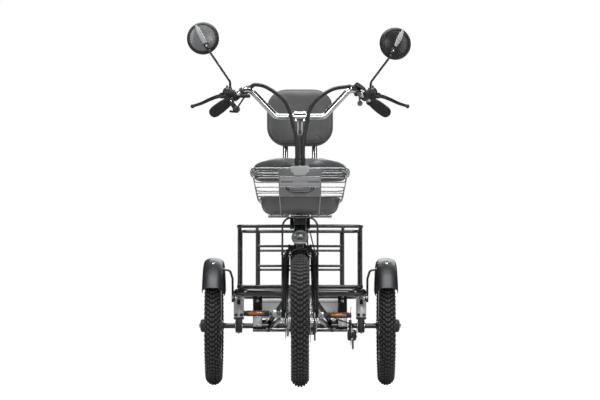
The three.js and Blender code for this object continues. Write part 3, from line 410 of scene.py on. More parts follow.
def surface(name, colour, roughness, metallic=0.0, coat=0.0, vary=0.12, vary_scale=18.0, grain=0.08,
            grain_scale=900.0, rough_vary=0.08, edge=None, edge_amount=0.5, sheen=0.0, speck=None,
            grain_kind="noise", emission=None, transmission=0.0, stretch=(1, 1, 1),
            specular=0.5):
    """A painted, moulded, plated or sewn surface, with colour variation, a colour on convex edges (wear, and
    on the tyre a painted highlight) and fine relief.
    """
    material = bpy.data.materials.new(name)
    material.use_nodes = True
    nodes = material.node_tree.nodes
    links = material.node_tree.links
    shader = nodes["Principled BSDF"]
    shader.inputs["Metallic"].default_value = metallic
    shader.inputs["Coat Weight"].default_value = coat
    shader.inputs["Coat Roughness"].default_value = 0.06
    shader.inputs["Specular IOR Level"].default_value = specular
    shader.inputs["Sheen Weight"].default_value = sheen
    shader.inputs["Sheen Roughness"].default_value = 0.4
    shader.inputs["Transmission Weight"].default_value = transmission
    if emission:
        shader.inputs["Emission Color"].default_value = (*emission[0], 1)
        shader.inputs["Emission Strength"].default_value = emission[1]
    place = nodes.new("ShaderNodeTexCoord")
    mapping = nodes.new("ShaderNodeMapping")
    mapping.inputs["Scale"].default_value = stretch
    links.new(place.outputs["Object"], mapping.inputs["Vector"])

    clouds = nodes.new("ShaderNodeTexNoise")
    clouds.inputs["Scale"].default_value = vary_scale
    clouds.inputs["Detail"].default_value = 6
    clouds.inputs["Roughness"].default_value = 0.65
    links.new(mapping.outputs["Vector"], clouds.inputs["Vector"])
    dark = [max(0.0, c * (1 - vary)) for c in colour]
    light = [min(1.0, c * (1 + vary) + vary * 0.01) for c in colour]
    tones = ramp(nodes, ((0.3, dark), (0.7, light)))
    links.new(clouds.outputs["Fac"], tones.inputs["Fac"])
    paint = tones.outputs["Color"]

    if speck:
        fleck_colour, fleck_scale, fleck_share, fleck_size = speck
        flecks = nodes.new("ShaderNodeTexVoronoi")
        flecks.inputs["Scale"].default_value = fleck_scale
        links.new(mapping.outputs["Vector"], flecks.inputs["Vector"])
        fleck_ramp = ramp(nodes, ((0.0, grey(fleck_share)), (fleck_size, grey(0))))
        links.new(flecks.outputs["Distance"], fleck_ramp.inputs["Fac"])
        paint = laid_over(material.node_tree, paint, fleck_ramp.outputs["Color"], fleck_colour)

    # Convex edges take the edge colour: wear on most surfaces, a painted highlight on the tyre's knobs.
    if edge:
        shape_of = nodes.new("ShaderNodeNewGeometry")
        edge_ramp = ramp(nodes, ((0.53, grey(0)), (0.62, grey(edge_amount))))
        links.new(shape_of.outputs["Pointiness"], edge_ramp.inputs["Fac"])
        paint = laid_over(material.node_tree, paint, edge_ramp.outputs["Color"], edge)
    links.new(paint, shader.inputs["Base Color"])

    gloss = nodes.new("ShaderNodeMapRange")
    gloss.inputs["From Min"].default_value = 0.3
    gloss.inputs["From Max"].default_value = 0.7
    gloss.inputs["To Min"].default_value = max(0.02, roughness - rough_vary)
    gloss.inputs["To Max"].default_value = min(1.0, roughness + rough_vary)
    links.new(clouds.outputs["Fac"], gloss.inputs["Value"])
    links.new(gloss.outputs["Result"], shader.inputs["Roughness"])

    if grain_kind == "cells":
        fine = nodes.new("ShaderNodeTexVoronoi")
        fine.feature = "DISTANCE_TO_EDGE"
        fine.inputs["Scale"].default_value = grain_scale
        relief = fine.outputs["Distance"]
    else:
        fine = nodes.new("ShaderNodeTexNoise")
        fine.inputs["Scale"].default_value = grain_scale
        fine.inputs["Detail"].default_value = 3
        relief = fine.outputs["Fac"]
    links.new(mapping.outputs["Vector"], fine.inputs["Vector"])
    bump = nodes.new("ShaderNodeBump")
    bump.inputs["Strength"].default_value = grain
    bump.inputs["Distance"].default_value = 0.001
    links.new(relief, bump.inputs["Height"])
    links.new(bump.outputs["Normal"], shader.inputs["Normal"])
    return material


# A light grey for flecks on the tyre rubber, which paint glints on the knobs.
TYRE_GLINT_GREY = (0.30, 0.29, 0.28)
GLOSS_BLACK = surface("gloss_black_paint", (0.008, 0.008, 0.009), 0.16, coat=0.9, vary=0.3, grain=0.015,
                      grain_scale=260, rough_vary=0.05, specular=0.4)
FENDER_BLACK = surface("fender_black_paint", (0.008, 0.009, 0.012), 0.46, coat=0.08, vary=0.3, grain=0.02,
                       grain_scale=240, rough_vary=0.06, speck=((0.10, 0.10, 0.12), 900, 0.35, 0.1))
TRIM_GREY = surface("satin_grey_trim", (0.42, 0.425, 0.43), 0.42, vary=0.08, grain=0.1,
                    edge=(0.6, 0.6, 0.6), edge_amount=0.3)
SATIN_BLACK = surface("satin_black_metal", (0.007, 0.007, 0.008), 0.42, metallic=0.2, vary=0.25, grain=0.1,
                      edge=(0.16, 0.16, 0.17), edge_amount=0.5)
PLASTIC_BLACK = surface("black_moulded_plastic", (0.009, 0.009, 0.010), 0.38, vary=0.2, grain=0.02,
                        grain_scale=1400, edge=(0.06, 0.06, 0.065), edge_amount=0.4)
CHROME = surface("chrome_plate", (0.60, 0.61, 0.62), 0.14, metallic=1.0, vary=0.04, vary_scale=9,
                 grain=0.006, grain_scale=180, rough_vary=0.045)
STEEL = surface("brushed_steel", (0.52, 0.53, 0.54), 0.3, metallic=1.0, vary=0.14, grain=0.1,
                grain_scale=500, rough_vary=0.1, stretch=(1, 1, 6), edge=(0.75, 0.75, 0.76),
                edge_amount=0.4)
ZINC = surface("zinc_fasteners", (0.62, 0.63, 0.64), 0.24, metallic=1.0, vary=0.12, vary_scale=60,
               grain=0.08, edge=(0.85, 0.85, 0.86), edge_amount=0.6)
SILVER_PAINT = surface("silver_paint", (0.68, 0.69, 0.70), 0.36, metallic=0.35, coat=0.4, vary=0.08,
                       grain=0.05, speck=((0.9, 0.9, 0.92), 2600, 0.5, 0.25))
WIRE_GREY = surface("wire_silver_coating", (0.26, 0.265, 0.27), 0.24, metallic=0.85, coat=0.3, vary=0.1,
                    vary_scale=40, grain=0.05, edge=(0.8, 0.8, 0.82), edge_amount=0.4)
RIM_BLACK = surface("rim_black_anodised", (0.012, 0.012, 0.013), 0.28, metallic=0.7, coat=0.3, vary=0.2,
                    grain=0.05, edge=(0.3, 0.3, 0.31), edge_amount=0.5)
# The tyre's grey flecks and its lighter knob edges are painted highlights on the knobs.
TYRE_RUBBER = surface("tyre_rubber", (0.004, 0.004, 0.004), 0.66, vary=0.35, vary_scale=30, grain=0.5,
                      grain_scale=1100, rough_vary=0.12, edge=(0.10, 0.10, 0.10), edge_amount=0.7,
                      speck=(TYRE_GLINT_GREY, 380, 0.06, 0.12), specular=0.3)
GRIP_RUBBER = surface("grip_rubber", (0.007, 0.007, 0.008), 0.66, vary=0.25, grain=0.5, grain_scale=1500,
                      edge=(0.06, 0.06, 0.06), edge_amount=0.4)
CABLE_BLACK = surface("cable_sleeve", (0.005, 0.005, 0.006), 0.36, vary=0.2, grain=0.2, grain_scale=1200,
                      edge=(0.11, 0.11, 0.115), edge_amount=0.5)
LEATHER = surface("dark_grey_leather", (0.056, 0.056, 0.058), 0.34, vary=0.22, vary_scale=14, grain=0.5,
                  grain_scale=420, grain_kind="cells", rough_vary=0.07, sheen=0.06,
                  edge=(0.07, 0.07, 0.075), edge_amount=0.35)
# The piping is a real cord round the pads. Its grey, lighter than the leather, also paints the highlight
# along their rims.
PIPING = surface("leather_piping", (0.10, 0.10, 0.105), 0.38, vary=0.15, grain=0.4, grain_scale=600,
                 grain_kind="cells", sheen=0.1)
THREAD = surface("seam_thread", (0.16, 0.16, 0.165), 0.7, vary=0.3, vary_scale=400, grain=0.6,
                 grain_scale=1600)
TRAY_GREY = surface("gloss_tub_plastic", (0.085, 0.085, 0.087), 0.34, coat=0.3, vary=0.08, grain=0.02,
                    grain_scale=700, rough_vary=0.04)
PANEL_GREY = surface("pale_grey_panel", (0.82, 0.822, 0.826), 0.44, vary=0.05, grain=0.25, grain_scale=1300,
                     edge=(0.72, 0.72, 0.72), edge_amount=0.3)
PLATE_GREY = surface("grey_plate", (0.17, 0.172, 0.176), 0.36, metallic=0.2, vary=0.08, grain=0.015,
                     grain_scale=700, edge=(0.4, 0.4, 0.4), edge_amount=0.4)
AMBER = surface("amber_reflector", (0.50, 0.13, 0.008), 0.18, coat=1.0, vary=0.18, vary_scale=120,
                grain=0.9, grain_scale=420, grain_kind="cells")
LENS = surface("clear_lens", (0.92, 0.94, 0.96), 0.04, vary=0.02, grain=0.05, grain_scale=300, coat=0.6,
               transmission=0.92, rough_vary=0.02)
LED = surface("led_chip", (0.45, 0.46, 0.48), 0.2, vary=0.03, emission=((0.95, 0.97, 1.0), 0.03))
MIRROR_GLASS = surface("mirror_glass", (0.80, 0.83, 0.86), 0.03, metallic=1.0, vary=0.02, grain=0.0,
                       rough_vary=0.01)
LAMP_BOWL = surface("smoked_reflector_bowl", (0.20, 0.205, 0.21), 0.22, metallic=1.0, vary=0.1, grain=0.05,
                    grain_kind="cells", grain_scale=260)
BAND_GREY = surface("light_band", (0.30, 0.303, 0.31), 0.4, vary=0.06, grain=0.2, grain_scale=1200,
                    edge=(0.5, 0.5, 0.5), edge_amount=0.3)
SCREEN = surface("display_window", (0.03, 0.035, 0.04), 0.12, coat=1.0, vary=0.1, grain=0.01)


# ---------------------------------------------------------------- wheels

CARCASS_RADIUS = 223.5
CARCASS_HALF_HEIGHT = 35.5
CARCASS_HALF_WIDTH = 34
BEAD_ANGLE = math.radians(123)
KNOB_ROWS = 76
SPOKE_COUNT = 36
SPOKE_LEAN = math.radians(52)
RIM_SEAT = 189
ROTOR_RADIUS = 90
FRONT_ROTOR_X = 41
REAR_ROTOR_X = 227
SHAFT_START = 24
SHAFT_LENGTH = 318


def carcass(angle, height=0.0):
    """(radius, across) of the tyre's outer surface at an angle from the crown, raised by a height."""
    return (CARCASS_RADIUS + (CARCASS_HALF_HEIGHT + height) * math.cos(angle),
            (CARCASS_HALF_WIDTH + height) * math.sin(angle))


def wheel_point(centre, turn, radius, across):
    """A point of a wheel from its angle round the axle, its radius and its distance across."""
    return centre + mm(across, radius * math.sin(turn), radius * math.cos(turn))


def knob(shape, centre, turn, angle, length, width, height, skew):
    """One tapered tread block on the tyre."""
    rings = []
    for level, size in ((-1.2, 1.0), (height - 0.8, 0.86), (height, 0.72)):
        ring = []
        for u, v in ((-1, -1), (1, -1), (1, 1), (-1, 1)):
            section = angle + v * size * width / 2 / CARCASS_HALF_WIDTH
            radius, across = carcass(section, level)
            shift = (u * size * length / 2 + skew * v * width / 2) / WHEEL_RADIUS
            ring.append(wheel_point(centre, turn + shift, min(radius, WHEEL_RADIUS), across))
        rings.append(ring)
    shape.skin(rings, TYRE_RUBBER)


def tyre(centre):
    shape = Shape()
    outside = [carcass(-BEAD_ANGLE + 2 * BEAD_ANGLE * i / 26) for i in range(27)]
    for i in (3, 23):
        outside[i] = (outside[i][0], outside[i][1] * 1.03)
    inside = [(r - 4.5 * math.cos(a), x - 4.5 * math.sin(a)) for (r, x), a in
              ((carcass(BEAD_ANGLE - 2 * BEAD_ANGLE * i / 12), BEAD_ANGLE - 2 * BEAD_ANGLE * i / 12)
               for i in range(13))]
    shape.lathe(outside + inside, centre, centre + X, TYRE_RUBBER, 96, loop=True)
    for row in range(KNOB_ROWS):
        turn = TURN * row / KNOB_ROWS
        half = TURN / KNOB_ROWS / 2
        for side in (1, -1):
            knob(shape, centre, turn, side * 0.16, 12, 9, 5.6, side * 0.55)
            knob(shape, centre, turn + half, side * 0.49, 11.5, 8.5, 5.4, side * 0.3)
            knob(shape, centre, turn, side * 0.82, 12 if row % 2 else 9, 8, 5.0, 0)
            knob(shape, centre, turn + half, side * 1.14, 9.5, 7.5, 4.4, 0)
    return shape


def rim(centre):
    """A double-wall rim with a bright ring at each brake wall, and a valve."""
    shape = Shape()
    half = [(RIM_SEAT - 3, -8), (RIM_SEAT, -13), (200, -23.5), (203.5, -25.7), (204.5, -27.5), (203, -28.6),
            (200, -28.1), (195, -26.1), (184, -15.5), (180.5, -7.5)]
    section = [*half, (180, 0), *[(r, -x) for r, x in reversed(half)]]
    shape.lathe(section, centre, centre + X, RIM_BLACK, 72, loop=True)
    for side in (1, -1):
        shape.lathe([(194.5, side * 26.0), (197.5, side * 27.4), (197.5, side * 28.2),
                     (194.5, side * 26.7)], centre, centre + X, STEEL, 72, loop=True)
    valve = wheel_point(centre, TURN / SPOKE_COUNT / 2, 182, 0)
    tip = wheel_point(centre, TURN / SPOKE_COUNT / 2, 150, 0)
    shape.lathe([(4.6, -1), (4.6, 2), (3.1, 2.5), (3.1, 16), (3.9, 16.5), (3.9, 30), (2.4, 33), (0, 33)],
                valve, tip, PLASTIC_BLACK, 12)
    return shape


def spokes(shape, centre, flange, flange_radius):
    """Spokes crossed between the hub's flanges and the rim, with their nipples."""
    for i in range(SPOKE_COUNT):
        side = 1 if i % 2 else -1
        lean = SPOKE_LEAN if (i // 2) % 2 else -SPOKE_LEAN
        turn = TURN * i / SPOKE_COUNT
        root = wheel_point(centre, turn + lean, flange_radius - 4, side * flange)
        tip = wheel_point(centre, turn, 181, side * 4)
        collar = tip.lerp(root, 11 * MM / (tip - root).length)
        shape.tube([root, collar], 1.15, STEEL, 6)
        shape.lathe([(2.6, -2), (2.6, 1.5), (1.9, 2.5), (1.9, 12)], tip, root, ZINC, 8)
        shape.ball(root + X * (side * 2.6 * MM), 2.0, ZINC, 6)


def rotor(shape, centre, inner):
    """A wavy, drilled brake disc on a six-armed carrier."""
    place = facing(centre, X)
    outline = [((ROTOR_RADIUS - 2 + 1.6 * math.cos(12 * a)) * math.cos(a),
                (ROTOR_RADIUS - 2 + 1.6 * math.cos(12 * a)) * math.sin(a))
               for a in (TURN * i / 96 for i in range(96))]
    holes = []
    for i in range(12):
        for k, radius in enumerate((72, 77.5, 83)):
            a = TURN * (i + 0.22 * k) / 12
            holes.append([(radius * math.cos(a) + x, radius * math.sin(a) + y) for x, y in circle(2.6, 8)])
    for i in range(6):
        low = TURN * i / 6 + 0.16
        high = TURN * (i + 1) / 6 - 0.16
        window = [(64 * math.cos(low + (high - low) * k / 6), 64 * math.sin(low + (high - low) * k / 6))
                  for k in range(7)]
        window += [(34 * math.cos(high + 0.22 - (high - low) * k / 4),
                    34 * math.sin(high + 0.22 - (high - low) * k / 4))
                   for k in range(5)]
        holes.append(window)
    holes.append(circle(inner, 24))
    shape.plate(outline, 1.9, place, STEEL, holes)
    shape.lathe([(inner, -5), (inner + 13, -5), (inner + 14, -3), (inner + 14, -1.2), (inner, -1.2)],
                centre, centre + X, SATIN_BLACK, 32, loop=True)
    for i in range(6):
        point = wheel_point(centre, TURN * i / 6, inner + 8, 1.0)
        shape.bolt(point, X, 3.2, ZINC)


for label, side_sign in (("front", 0), ("rear_left", 1), ("rear_right", -1)):
    centre = at(side_sign * HALF_TRACK, WHEELBASE if side_sign else 0, WHEEL_RADIUS)
    body = {"front": "front_wheel", "rear_left": "rear_wheel_left", "rear_right": "rear_wheel_right"}[label]
    piece(f"{label}_knobbed_tyre", tyre(centre), body, [f"{label}_tire"], sharp=30)
    wheel_rim = rim(centre)
    spokes(wheel_rim, centre, 31, 29)
    piece(f"{label}_rim_and_spokes", wheel_rim, body, [f"{label}_rim"])
    hub = Shape()
    barrel = 14 if label == "front" else 18
    barrel_half = [(barrel, 26), (barrel + 1, 27), (30, 29), (31, 30), (31, 32.5), (29, 33.5),
                   (barrel + 4, 34), (barrel + 2, 36)]
    hub.lathe(both_ways(barrel_half), centre, centre + X, SATIN_BLACK, 36, loop=True)
    if label == "front":
        hub.lathe([(6.5, -50), (9, -50), (12, -47), (13, -44), (13, -36), (6.5, -36)], centre, centre + X,
                  STEEL, 28, loop=True)
        hub.lathe([(7, 33), (16, 33), (20, 34), (7, 34)], centre, centre + X, STEEL, 28, loop=True)
        piece("front_hub_barrel", hub, body, ["front_hub"])
        disc = Shape()
        rotor(disc, centre + X * (FRONT_ROTOR_X * MM), 8)
        piece("front_brake_disc", disc, body, ["front_rotor"])
    else:
        axle_start = at(side_sign * SHAFT_START, WHEELBASE, WHEEL_RADIUS)
        hub.lathe([(12, 0), (12, SHAFT_LENGTH - 5), (19, SHAFT_LENGTH - 3), (20, SHAFT_LENGTH + 4)],
                  axle_start, centre, GLOSS_BLACK, 28)
        for x in (70, 74, 110):
            hub.lathe([(12.2, x), (13.4, x + 1), (13.4, x + 3), (12.2, x + 4)], axle_start, centre,
                      SATIN_BLACK, 28)
        outward = X * side_sign
        hub.lathe([(20, 33), (27, 36), (29, 40), (29, 52), (26, 58), (16, 61), (0, 62)], centre,
                  centre + outward, SATIN_BLACK, 32)
        hub.bolt(centre + outward * (60.5 * MM), outward, 9, ZINC, 5)
        piece(f"{label}_hub_and_half_shaft", hub, body, [f"{label}_hub"])
        if side_sign > 0:
            disc = Shape()
            rotor(disc, at(REAR_ROTOR_X, WHEELBASE, WHEEL_RADIUS), 13)
            disc.lathe([(13, -10), (24, -10), (26, -8), (26, -2), (13, -2)],
                       at(REAR_ROTOR_X, WHEELBASE, WHEEL_RADIUS),
                       at(REAR_ROTOR_X + 1, WHEELBASE, WHEEL_RADIUS), SATIN_BLACK, 28, loop=True)
            piece("rear_brake_disc", disc, body, ["rear_rotor"])


# ---------------------------------------------------------------- cranks, pedals, chain and differential

CRANK_BEHIND = 480
CRANK_Z = 300
CRANK_LENGTH = 170
CHAIN_X = -52
CRANK_ROOT_X = {"left": 60, "right": -64}
CRANK_TIP_X = {"left": 92, "right": -104}
PEDAL_X = {"left": 164, "right": -178}
TOOTH_PITCH = 12.7
RING_TEETH = 44
SPROCKET_TEETH = 20
RING_PITCH_RADIUS = 89
SPROCKET_PITCH_RADIUS = 40.5


def gear_outline(pitch_radius, teeth):
    """A toothed wheel's outline."""
    outline = []
    for i in range(teeth):
        for share, height in ((0.0, -3.6), (0.16, -3.2), (0.40, 3.4), (0.60, 3.4), (0.84, -3.2)):
            a = TURN * (i + share) / teeth
            outline.append(((pitch_radius + height) * math.cos(a), (pitch_radius + height) * math.sin(a)))
    return outline


def crank_axis(x):
    return at(x, CRANK_BEHIND, CRANK_Z)


def arc_window(inner, outer, low, high, steps=6):
    """A curved slot outline between two radii and two angles."""
    window = [(outer * math.cos(low + (high - low) * k / steps),
               outer * math.sin(low + (high - low) * k / steps))
              for k in range(steps + 1)]
    window += [(inner * math.cos(high - (high - low) * k / steps),
                inner * math.sin(high - (high - low) * k / steps))
               for k in range(steps + 1)]
    return window


def crank(side, sign):
    """A crank arm, from its boss on the spindle to its eye at the pedal."""
    shape = Shape()
    root_x = CRANK_ROOT_X[side]
    root = crank_axis(root_x + sign * 10)
    tip = at(CRANK_TIP_X[side], CRANK_BEHIND + sign * CRANK_LENGTH, CRANK_Z)
    shape.lathe([(15, 0), (18, 1.5), (19, 5), (18, 17), (15, 20), (9, 20)], crank_axis(root_x),
                crank_axis(root_x + sign), STEEL, 28)
    shape.bolt(crank_axis(root_x + sign * 19), X * sign, 6.5, ZINC, 5)
    path = [root.lerp(tip, i / 12) for i in range(13)]
    shape.sweep(path, rounded_rectangle(13.5, 7, 4.5), STEEL, up=X,
                scales=[1 - 0.32 * math.sin(math.pi * min(1, i / 9) / 2) for i in range(13)])
    shape.lathe([(12, -8), (14, -6.5), (14, 6.5), (12, 8)], tip, tip + X, STEEL, 24)
    shape.lathe([(6, 8), (6, 11), (0, 11)], tip, tip - X * sign, SATIN_BLACK, 16)
    return shape


right_crank = crank("right", -1)
ring_place = facing(crank_axis(CHAIN_X), X)
ring_windows = [arc_window(40, 74, TURN * i / 5 + 0.13, TURN * (i + 1) / 5 - 0.13) for i in range(5)]
right_crank.plate(gear_outline(RING_PITCH_RADIUS, RING_TEETH), 2.6, ring_place, STEEL,
                  [circle(10, 20), *ring_windows])
guard_windows = [arc_window(78, 92, TURN * (i + 0.12) / 10, TURN * (i + 0.88) / 10, 4) for i in range(10)]
right_crank.plate(circle(101, 72), 2.4, facing(crank_axis(CHAIN_X - 7.5), X), PLASTIC_BLACK,
                  [circle(66, 40), *guard_windows], bevel=0.7)
for i in range(5):
    a = TURN * (i + 0.5) / 5 + TURN / 10
    fixing = crank_axis(CHAIN_X - 9) + Vector((0, math.cos(a), math.sin(a))) * (72 * MM)
    right_crank.rod(fixing, fixing + X * (9 * MM), 4.2, ZINC, 12)
    right_crank.bolt(fixing, -X, 4.6, ZINC, 3)
right_crank.rod(crank_axis(CHAIN_X - 2), crank_axis(-68), 17, STEEL, 24, 1)
piece("right_crank_and_chainring", right_crank, "cranks", ["crank_arm_right"])
left_crank = crank("left", 1)
left_crank.rod(crank_axis(CHAIN_X + 3), crank_axis(66), 8, STEEL, 16, 1)
piece("left_crank_and_spindle", left_crank, "cranks", ["crank_arm_left"])

for side, sign in SIDES:
    axis = at(CRANK_TIP_X[side], CRANK_BEHIND + sign * CRANK_LENGTH, CRANK_Z)
    middle = at(PEDAL_X[side], CRANK_BEHIND + sign * CRANK_LENGTH, CRANK_Z)
    pedal = Shape()
    pedal.lathe([(7, 12), (7.5, 14), (7.5, 17), (5.5, 18), (5.5, 22), (12, 22), (13, 25), (11, 60),
                 (12, 112), (9, 118), (0, 119)], axis, middle, SATIN_BLACK, 24)
    for edge in (-1, 1):
        # Serrated cage rails in front of and behind the spindle, each with its reflector.
        teeth = [(-53 + 106 * i / 26, 12 if i % 2 else 8.5) for i in range(27)]
        outline = teeth + [(x, -y) for x, y in reversed(teeth)]
        rail = middle + Y * (edge * 38 * MM)
        pedal.plate(outline, 2.6, facing(rail, Y), SATIN_BLACK, bevel=0.4)
        pedal.block((96, 10, 12), middle + Y * (edge * 31 * MM), PLASTIC_BLACK, 2)
        pedal.block((68, 3.4, 15), rail + Y * (edge * 1.8 * MM), PLASTIC_BLACK, 1)
        pedal.block((64, 3.0, 11.5), rail + Y * (edge * 3.2 * MM), AMBER, 0.8)
        pedal.block((7, 74, 16), middle + X * (edge * 49 * MM), SILVER_PAINT, 1.6)
        for near in (-1, 1):
            spot = middle + X * (edge * 52.4 * MM) + Y * (near * 26 * MM)
            pedal.bolt(spot, X * edge, 2.6, ZINC, 1.6)
    for row in (-20, 20):
        pedal.block((92, 5, 9), middle + Y * (row * MM), PLASTIC_BLACK, 1.5)
    for column in (-30, 0, 30):
        pedal.block((6, 60, 8), middle + X * (column * MM), PLASTIC_BLACK, 1.5)
    piece(f"{side}_pedal_with_reflectors", pedal, f"{side}_pedal", [f"pedal_{side}"])


def chain_path():
    """The pitch line of the chain around the chainring and the sprocket, as (behind, up) pairs."""
    spread = WHEELBASE - CRANK_BEHIND
    drop = WHEEL_RADIUS - CRANK_Z
    lean = math.atan2(drop, spread)
    wrap = math.acos((RING_PITCH_RADIUS - SPROCKET_PITCH_RADIUS) / math.hypot(spread, drop))
    points = []
    for cx, cz, radius, start, end, steps in (
            (0, 0, RING_PITCH_RADIUS, wrap, TURN - wrap, 40),
            (spread, drop, SPROCKET_PITCH_RADIUS, -wrap, wrap, 24)):
        for i in range(steps + 1):
            a = lean + start + (end - start) * i / steps
            points.append(crank_axis(CHAIN_X) + mm(0, cx + radius * math.cos(a), cz + radius * math.sin(a)))
    return points + points[:1]


chain = Shape()
pins = along(chain_path(), TOOTH_PITCH)
for i, (pin, following) in enumerate(zip(pins, pins[1:])):
    link_place = facing((pin + following) / 2, X, up=(following - pin).normalized())
    half = (following - pin).length / MM / 2
    waist = [(3.9 * math.cos(a), half + 3.9 * math.sin(a)) for a in (math.pi * k / 5 for k in range(6))]
    waist += [(-2.7, 0)] + [(-x, -y) for x, y in waist[:6]] + [(2.7, 0)]
    outset = 3.1 if i % 2 else 2.1
    for side in (-1, 1):
        chain.plate(waist, 1.0, link_place @ Matrix.Translation((0, 0, side * outset * MM)), STEEL)
    chain.rod(pin - X * (3.4 * MM), pin + X * (3.4 * MM), 1.9, SATIN_BLACK, 8)
piece("roller_chain", chain, "main_frame", ["chain"])


def rear_axle(x):
    return at(x, WHEELBASE, WHEEL_RADIUS)


differential = Shape()
CASE_HALF = [(13, 40), (27, 40), (29, 38), (31, 28), (40, 26), (43, 24), (43, 20), (40.5, 18), (40.5, 3),
             (43, 2)]
differential.lathe(both_ways(CASE_HALF), rear_axle(0), rear_axle(1), SATIN_BLACK, 40, loop=True)
for i in range(8):
    a = TURN * i / 8
    spot = rear_axle(0) + Vector((0, math.cos(a), math.sin(a))) * (36 * MM)
    for side in (-1, 1):
        differential.bolt(spot + X * (side * 25.5 * MM), X * side, 3.4, ZINC, 3)
differential.lathe([(13, -52), (25, -52), (25, -38), (13, -38)], rear_axle(0), rear_axle(1), STEEL, 32,
                   loop=True)
differential.plate(gear_outline(SPROCKET_PITCH_RADIUS, SPROCKET_TEETH), 2.6, facing(rear_axle(CHAIN_X), X),
                   STEEL, [circle(13, 24)])
piece("differential_and_sprocket", differential, "rear_drive", ["differential"])


# ---------------------------------------------------------------- frame

main = Shape()
head_low = on_steering_axis(603)
head_high = on_steering_axis(776)
length = (head_high - head_low).length / MM
main.lathe([(16.5, 0), (25, 0), (26, 2), (26, 12), (23, 15), (22, 18), (22, length - 18), (23, length - 15),
            (26, length - 12), (26, length - 2), (25, length), (16.5, length)], head_low, head_high,
            GLOSS_BLACK, 40, loop=True)
for cup, towards in ((head_low, head_high), (head_high, head_low)):
    main.lathe([(26, 0.5), (27.2, 1.5), (27.2, 7), (26, 8)], cup, towards, STEEL, 40)
main_path = bent([on_steering_axis(690), at(0, 400, 338), at(0, 590, 326)], 90, 10)
main.tube(main_path, 25, GLOSS_BLACK, 28)
upper_path = bent([on_steering_axis(745), at(0, 400, 520), at(0, 610, 480)], 60, 8)
main.tube(upper_path, 16, GLOSS_BLACK, 24)
main.rod(crank_axis(-34), crank_axis(34), 21, GLOSS_BLACK, 32, 1)
for side in (-1, 1):
    main.lathe([(8.8, 0), (19, 0), (19, 4), (16, 5.5), (8.8, 5.5)], crank_axis(side * 33.5),
               crank_axis(side * 40), STEEL, 32, loop=True)
seat_length = 385
main.lathe([(19, -16), (19, seat_length - 26)], SEAT_FOOT, SEAT_FOOT + SEAT_UP, GLOSS_BLACK, 32)
main.lathe([(15.6, 0), (19, 0), (19, 27), (15.6, 27)], on_seat_axis(seat_length - 27),
           on_seat_axis(seat_length), GLOSS_BLACK, 32, loop=True)
main.weld(main_path[0] + (main_path[1] - main_path[0]).normalized() * (26 * MM),
          main_path[1] - main_path[0], 25, GLOSS_BLACK)
main.weld(upper_path[0] + (upper_path[1] - upper_path[0]).normalized() * (26 * MM),
          upper_path[1] - upper_path[0], 16, GLOSS_BLACK)
main.weld(main_path[-1] - Y * (22 * MM), Y, 25, GLOSS_BLACK)
main.weld(upper_path[-1] - Y * (20 * MM), Y, 16, GLOSS_BLACK)
# A gusset plate in the corner between the two tubes behind the head tube.
gusset = [(-40, 34), (52, -60), (-4, -44), (-26, -8)]
main.plate(gusset, 5, facing(at(0, 275, 655), X, up=Z), GLOSS_BLACK, bevel=1)
for sign in (1, -1):
    upper_stay = [at(sign * 12, 618, 440), rear_axle(sign * 136) + mm(0, -20, 12)]
    main.tube(upper_stay, 11, GLOSS_BLACK, 20)
    lower_stay = bent([at(sign * 10, 575, 326), at(sign * 24, 700, 318), at(sign * 92, 960, 285),
                       rear_axle(sign * 134) + mm(0, -20, -8)], 60, 6)
    main.tube(lower_stay, 11, GLOSS_BLACK, 20)
    # The inner bearing block: a rounded housing with a clamped cap and two bolts below.
    hub_line = rear_axle(sign * 148)
    main.lathe([(12.9, -24), (24, -24), (26, -22), (26, 22), (24, 24), (12.9, 24)], hub_line, hub_line + X,
               GLOSS_BLACK, 36, loop=True)
    for across in (-1, 1):
        main.lathe([(12.9, 21), (19, 21), (19, 25.5), (12.9, 25.5)], hub_line, hub_line + X * across, ZINC,
                   30, loop=True)
    for lug in (-19, 19):
        main.block((40, 13, 18), hub_line + mm(0, lug, 17), GLOSS_BLACK, 2.5)
        main.bolt(hub_line + mm(0, lug, 26), Z, 4.5, ZINC, 4)
        main.block((40, 13, 14), hub_line + mm(0, lug, -16), GLOSS_BLACK, 2.5)
        main.bolt(hub_line + mm(0, lug, -23), -Z, 4.5, ZINC, 4)
# Three small bosses for the cable clips, beside the main tube.
for x, behind, z in ((26, 300, 548), (26, 372, 420), (25, 500, 345)):
    main.block((8, 16, 10), at(x, behind, z), SATIN_BLACK, 2)
piece("frame_tubes", main, "main_frame", ["frame"])

clamp = Shape()
low = on_seat_axis(365)
clamp.lathe([(19.4, 0), (23, 0), (24, 1.5), (24, 18.5), (23, 20), (19.4, 20)], low, low + SEAT_UP, CHROME,
            36, loop=True)
lug = on_seat_axis(375) + mm(0, 30, -6)
for side in (-1, 1):
    clamp.block((7, 18, 16), lug + X * (side * 6.5 * MM), CHROME, 2.5)
clamp.rod(lug - X * (14 * MM), lug + X * (9.5 * MM), 3, ZINC, 12)
clamp.nut_cap(lug - X * (9.5 * MM), -X, 6, ZINC, 7)
piece("seat_clamp_collar", clamp, "main_frame", ["seat_clamp"])
lever = Shape()
lever.rod(lug + X * (10.6 * MM), lug + X * (19.5 * MM), 7, CHROME, 24, 1.5)
lever_path = [lug + mm(15.5 + 2.5 * math.sin(t * math.pi), 2 + 6 * t, 2 - 56 * t)
              for t in (i / 10 for i in range(11))]
lever.sweep(lever_path, rounded_rectangle(3, 6, 2.6), CHROME, up=Y,
            scales=[1.1 - 0.25 * math.sin(math.pi * i / 10) for i in range(11)])
piece("seat_clamp_handle", lever, "seat_lever", ["seat_clamp_lever"])


# ---------------------------------------------------------------- rear frame and cargo basket

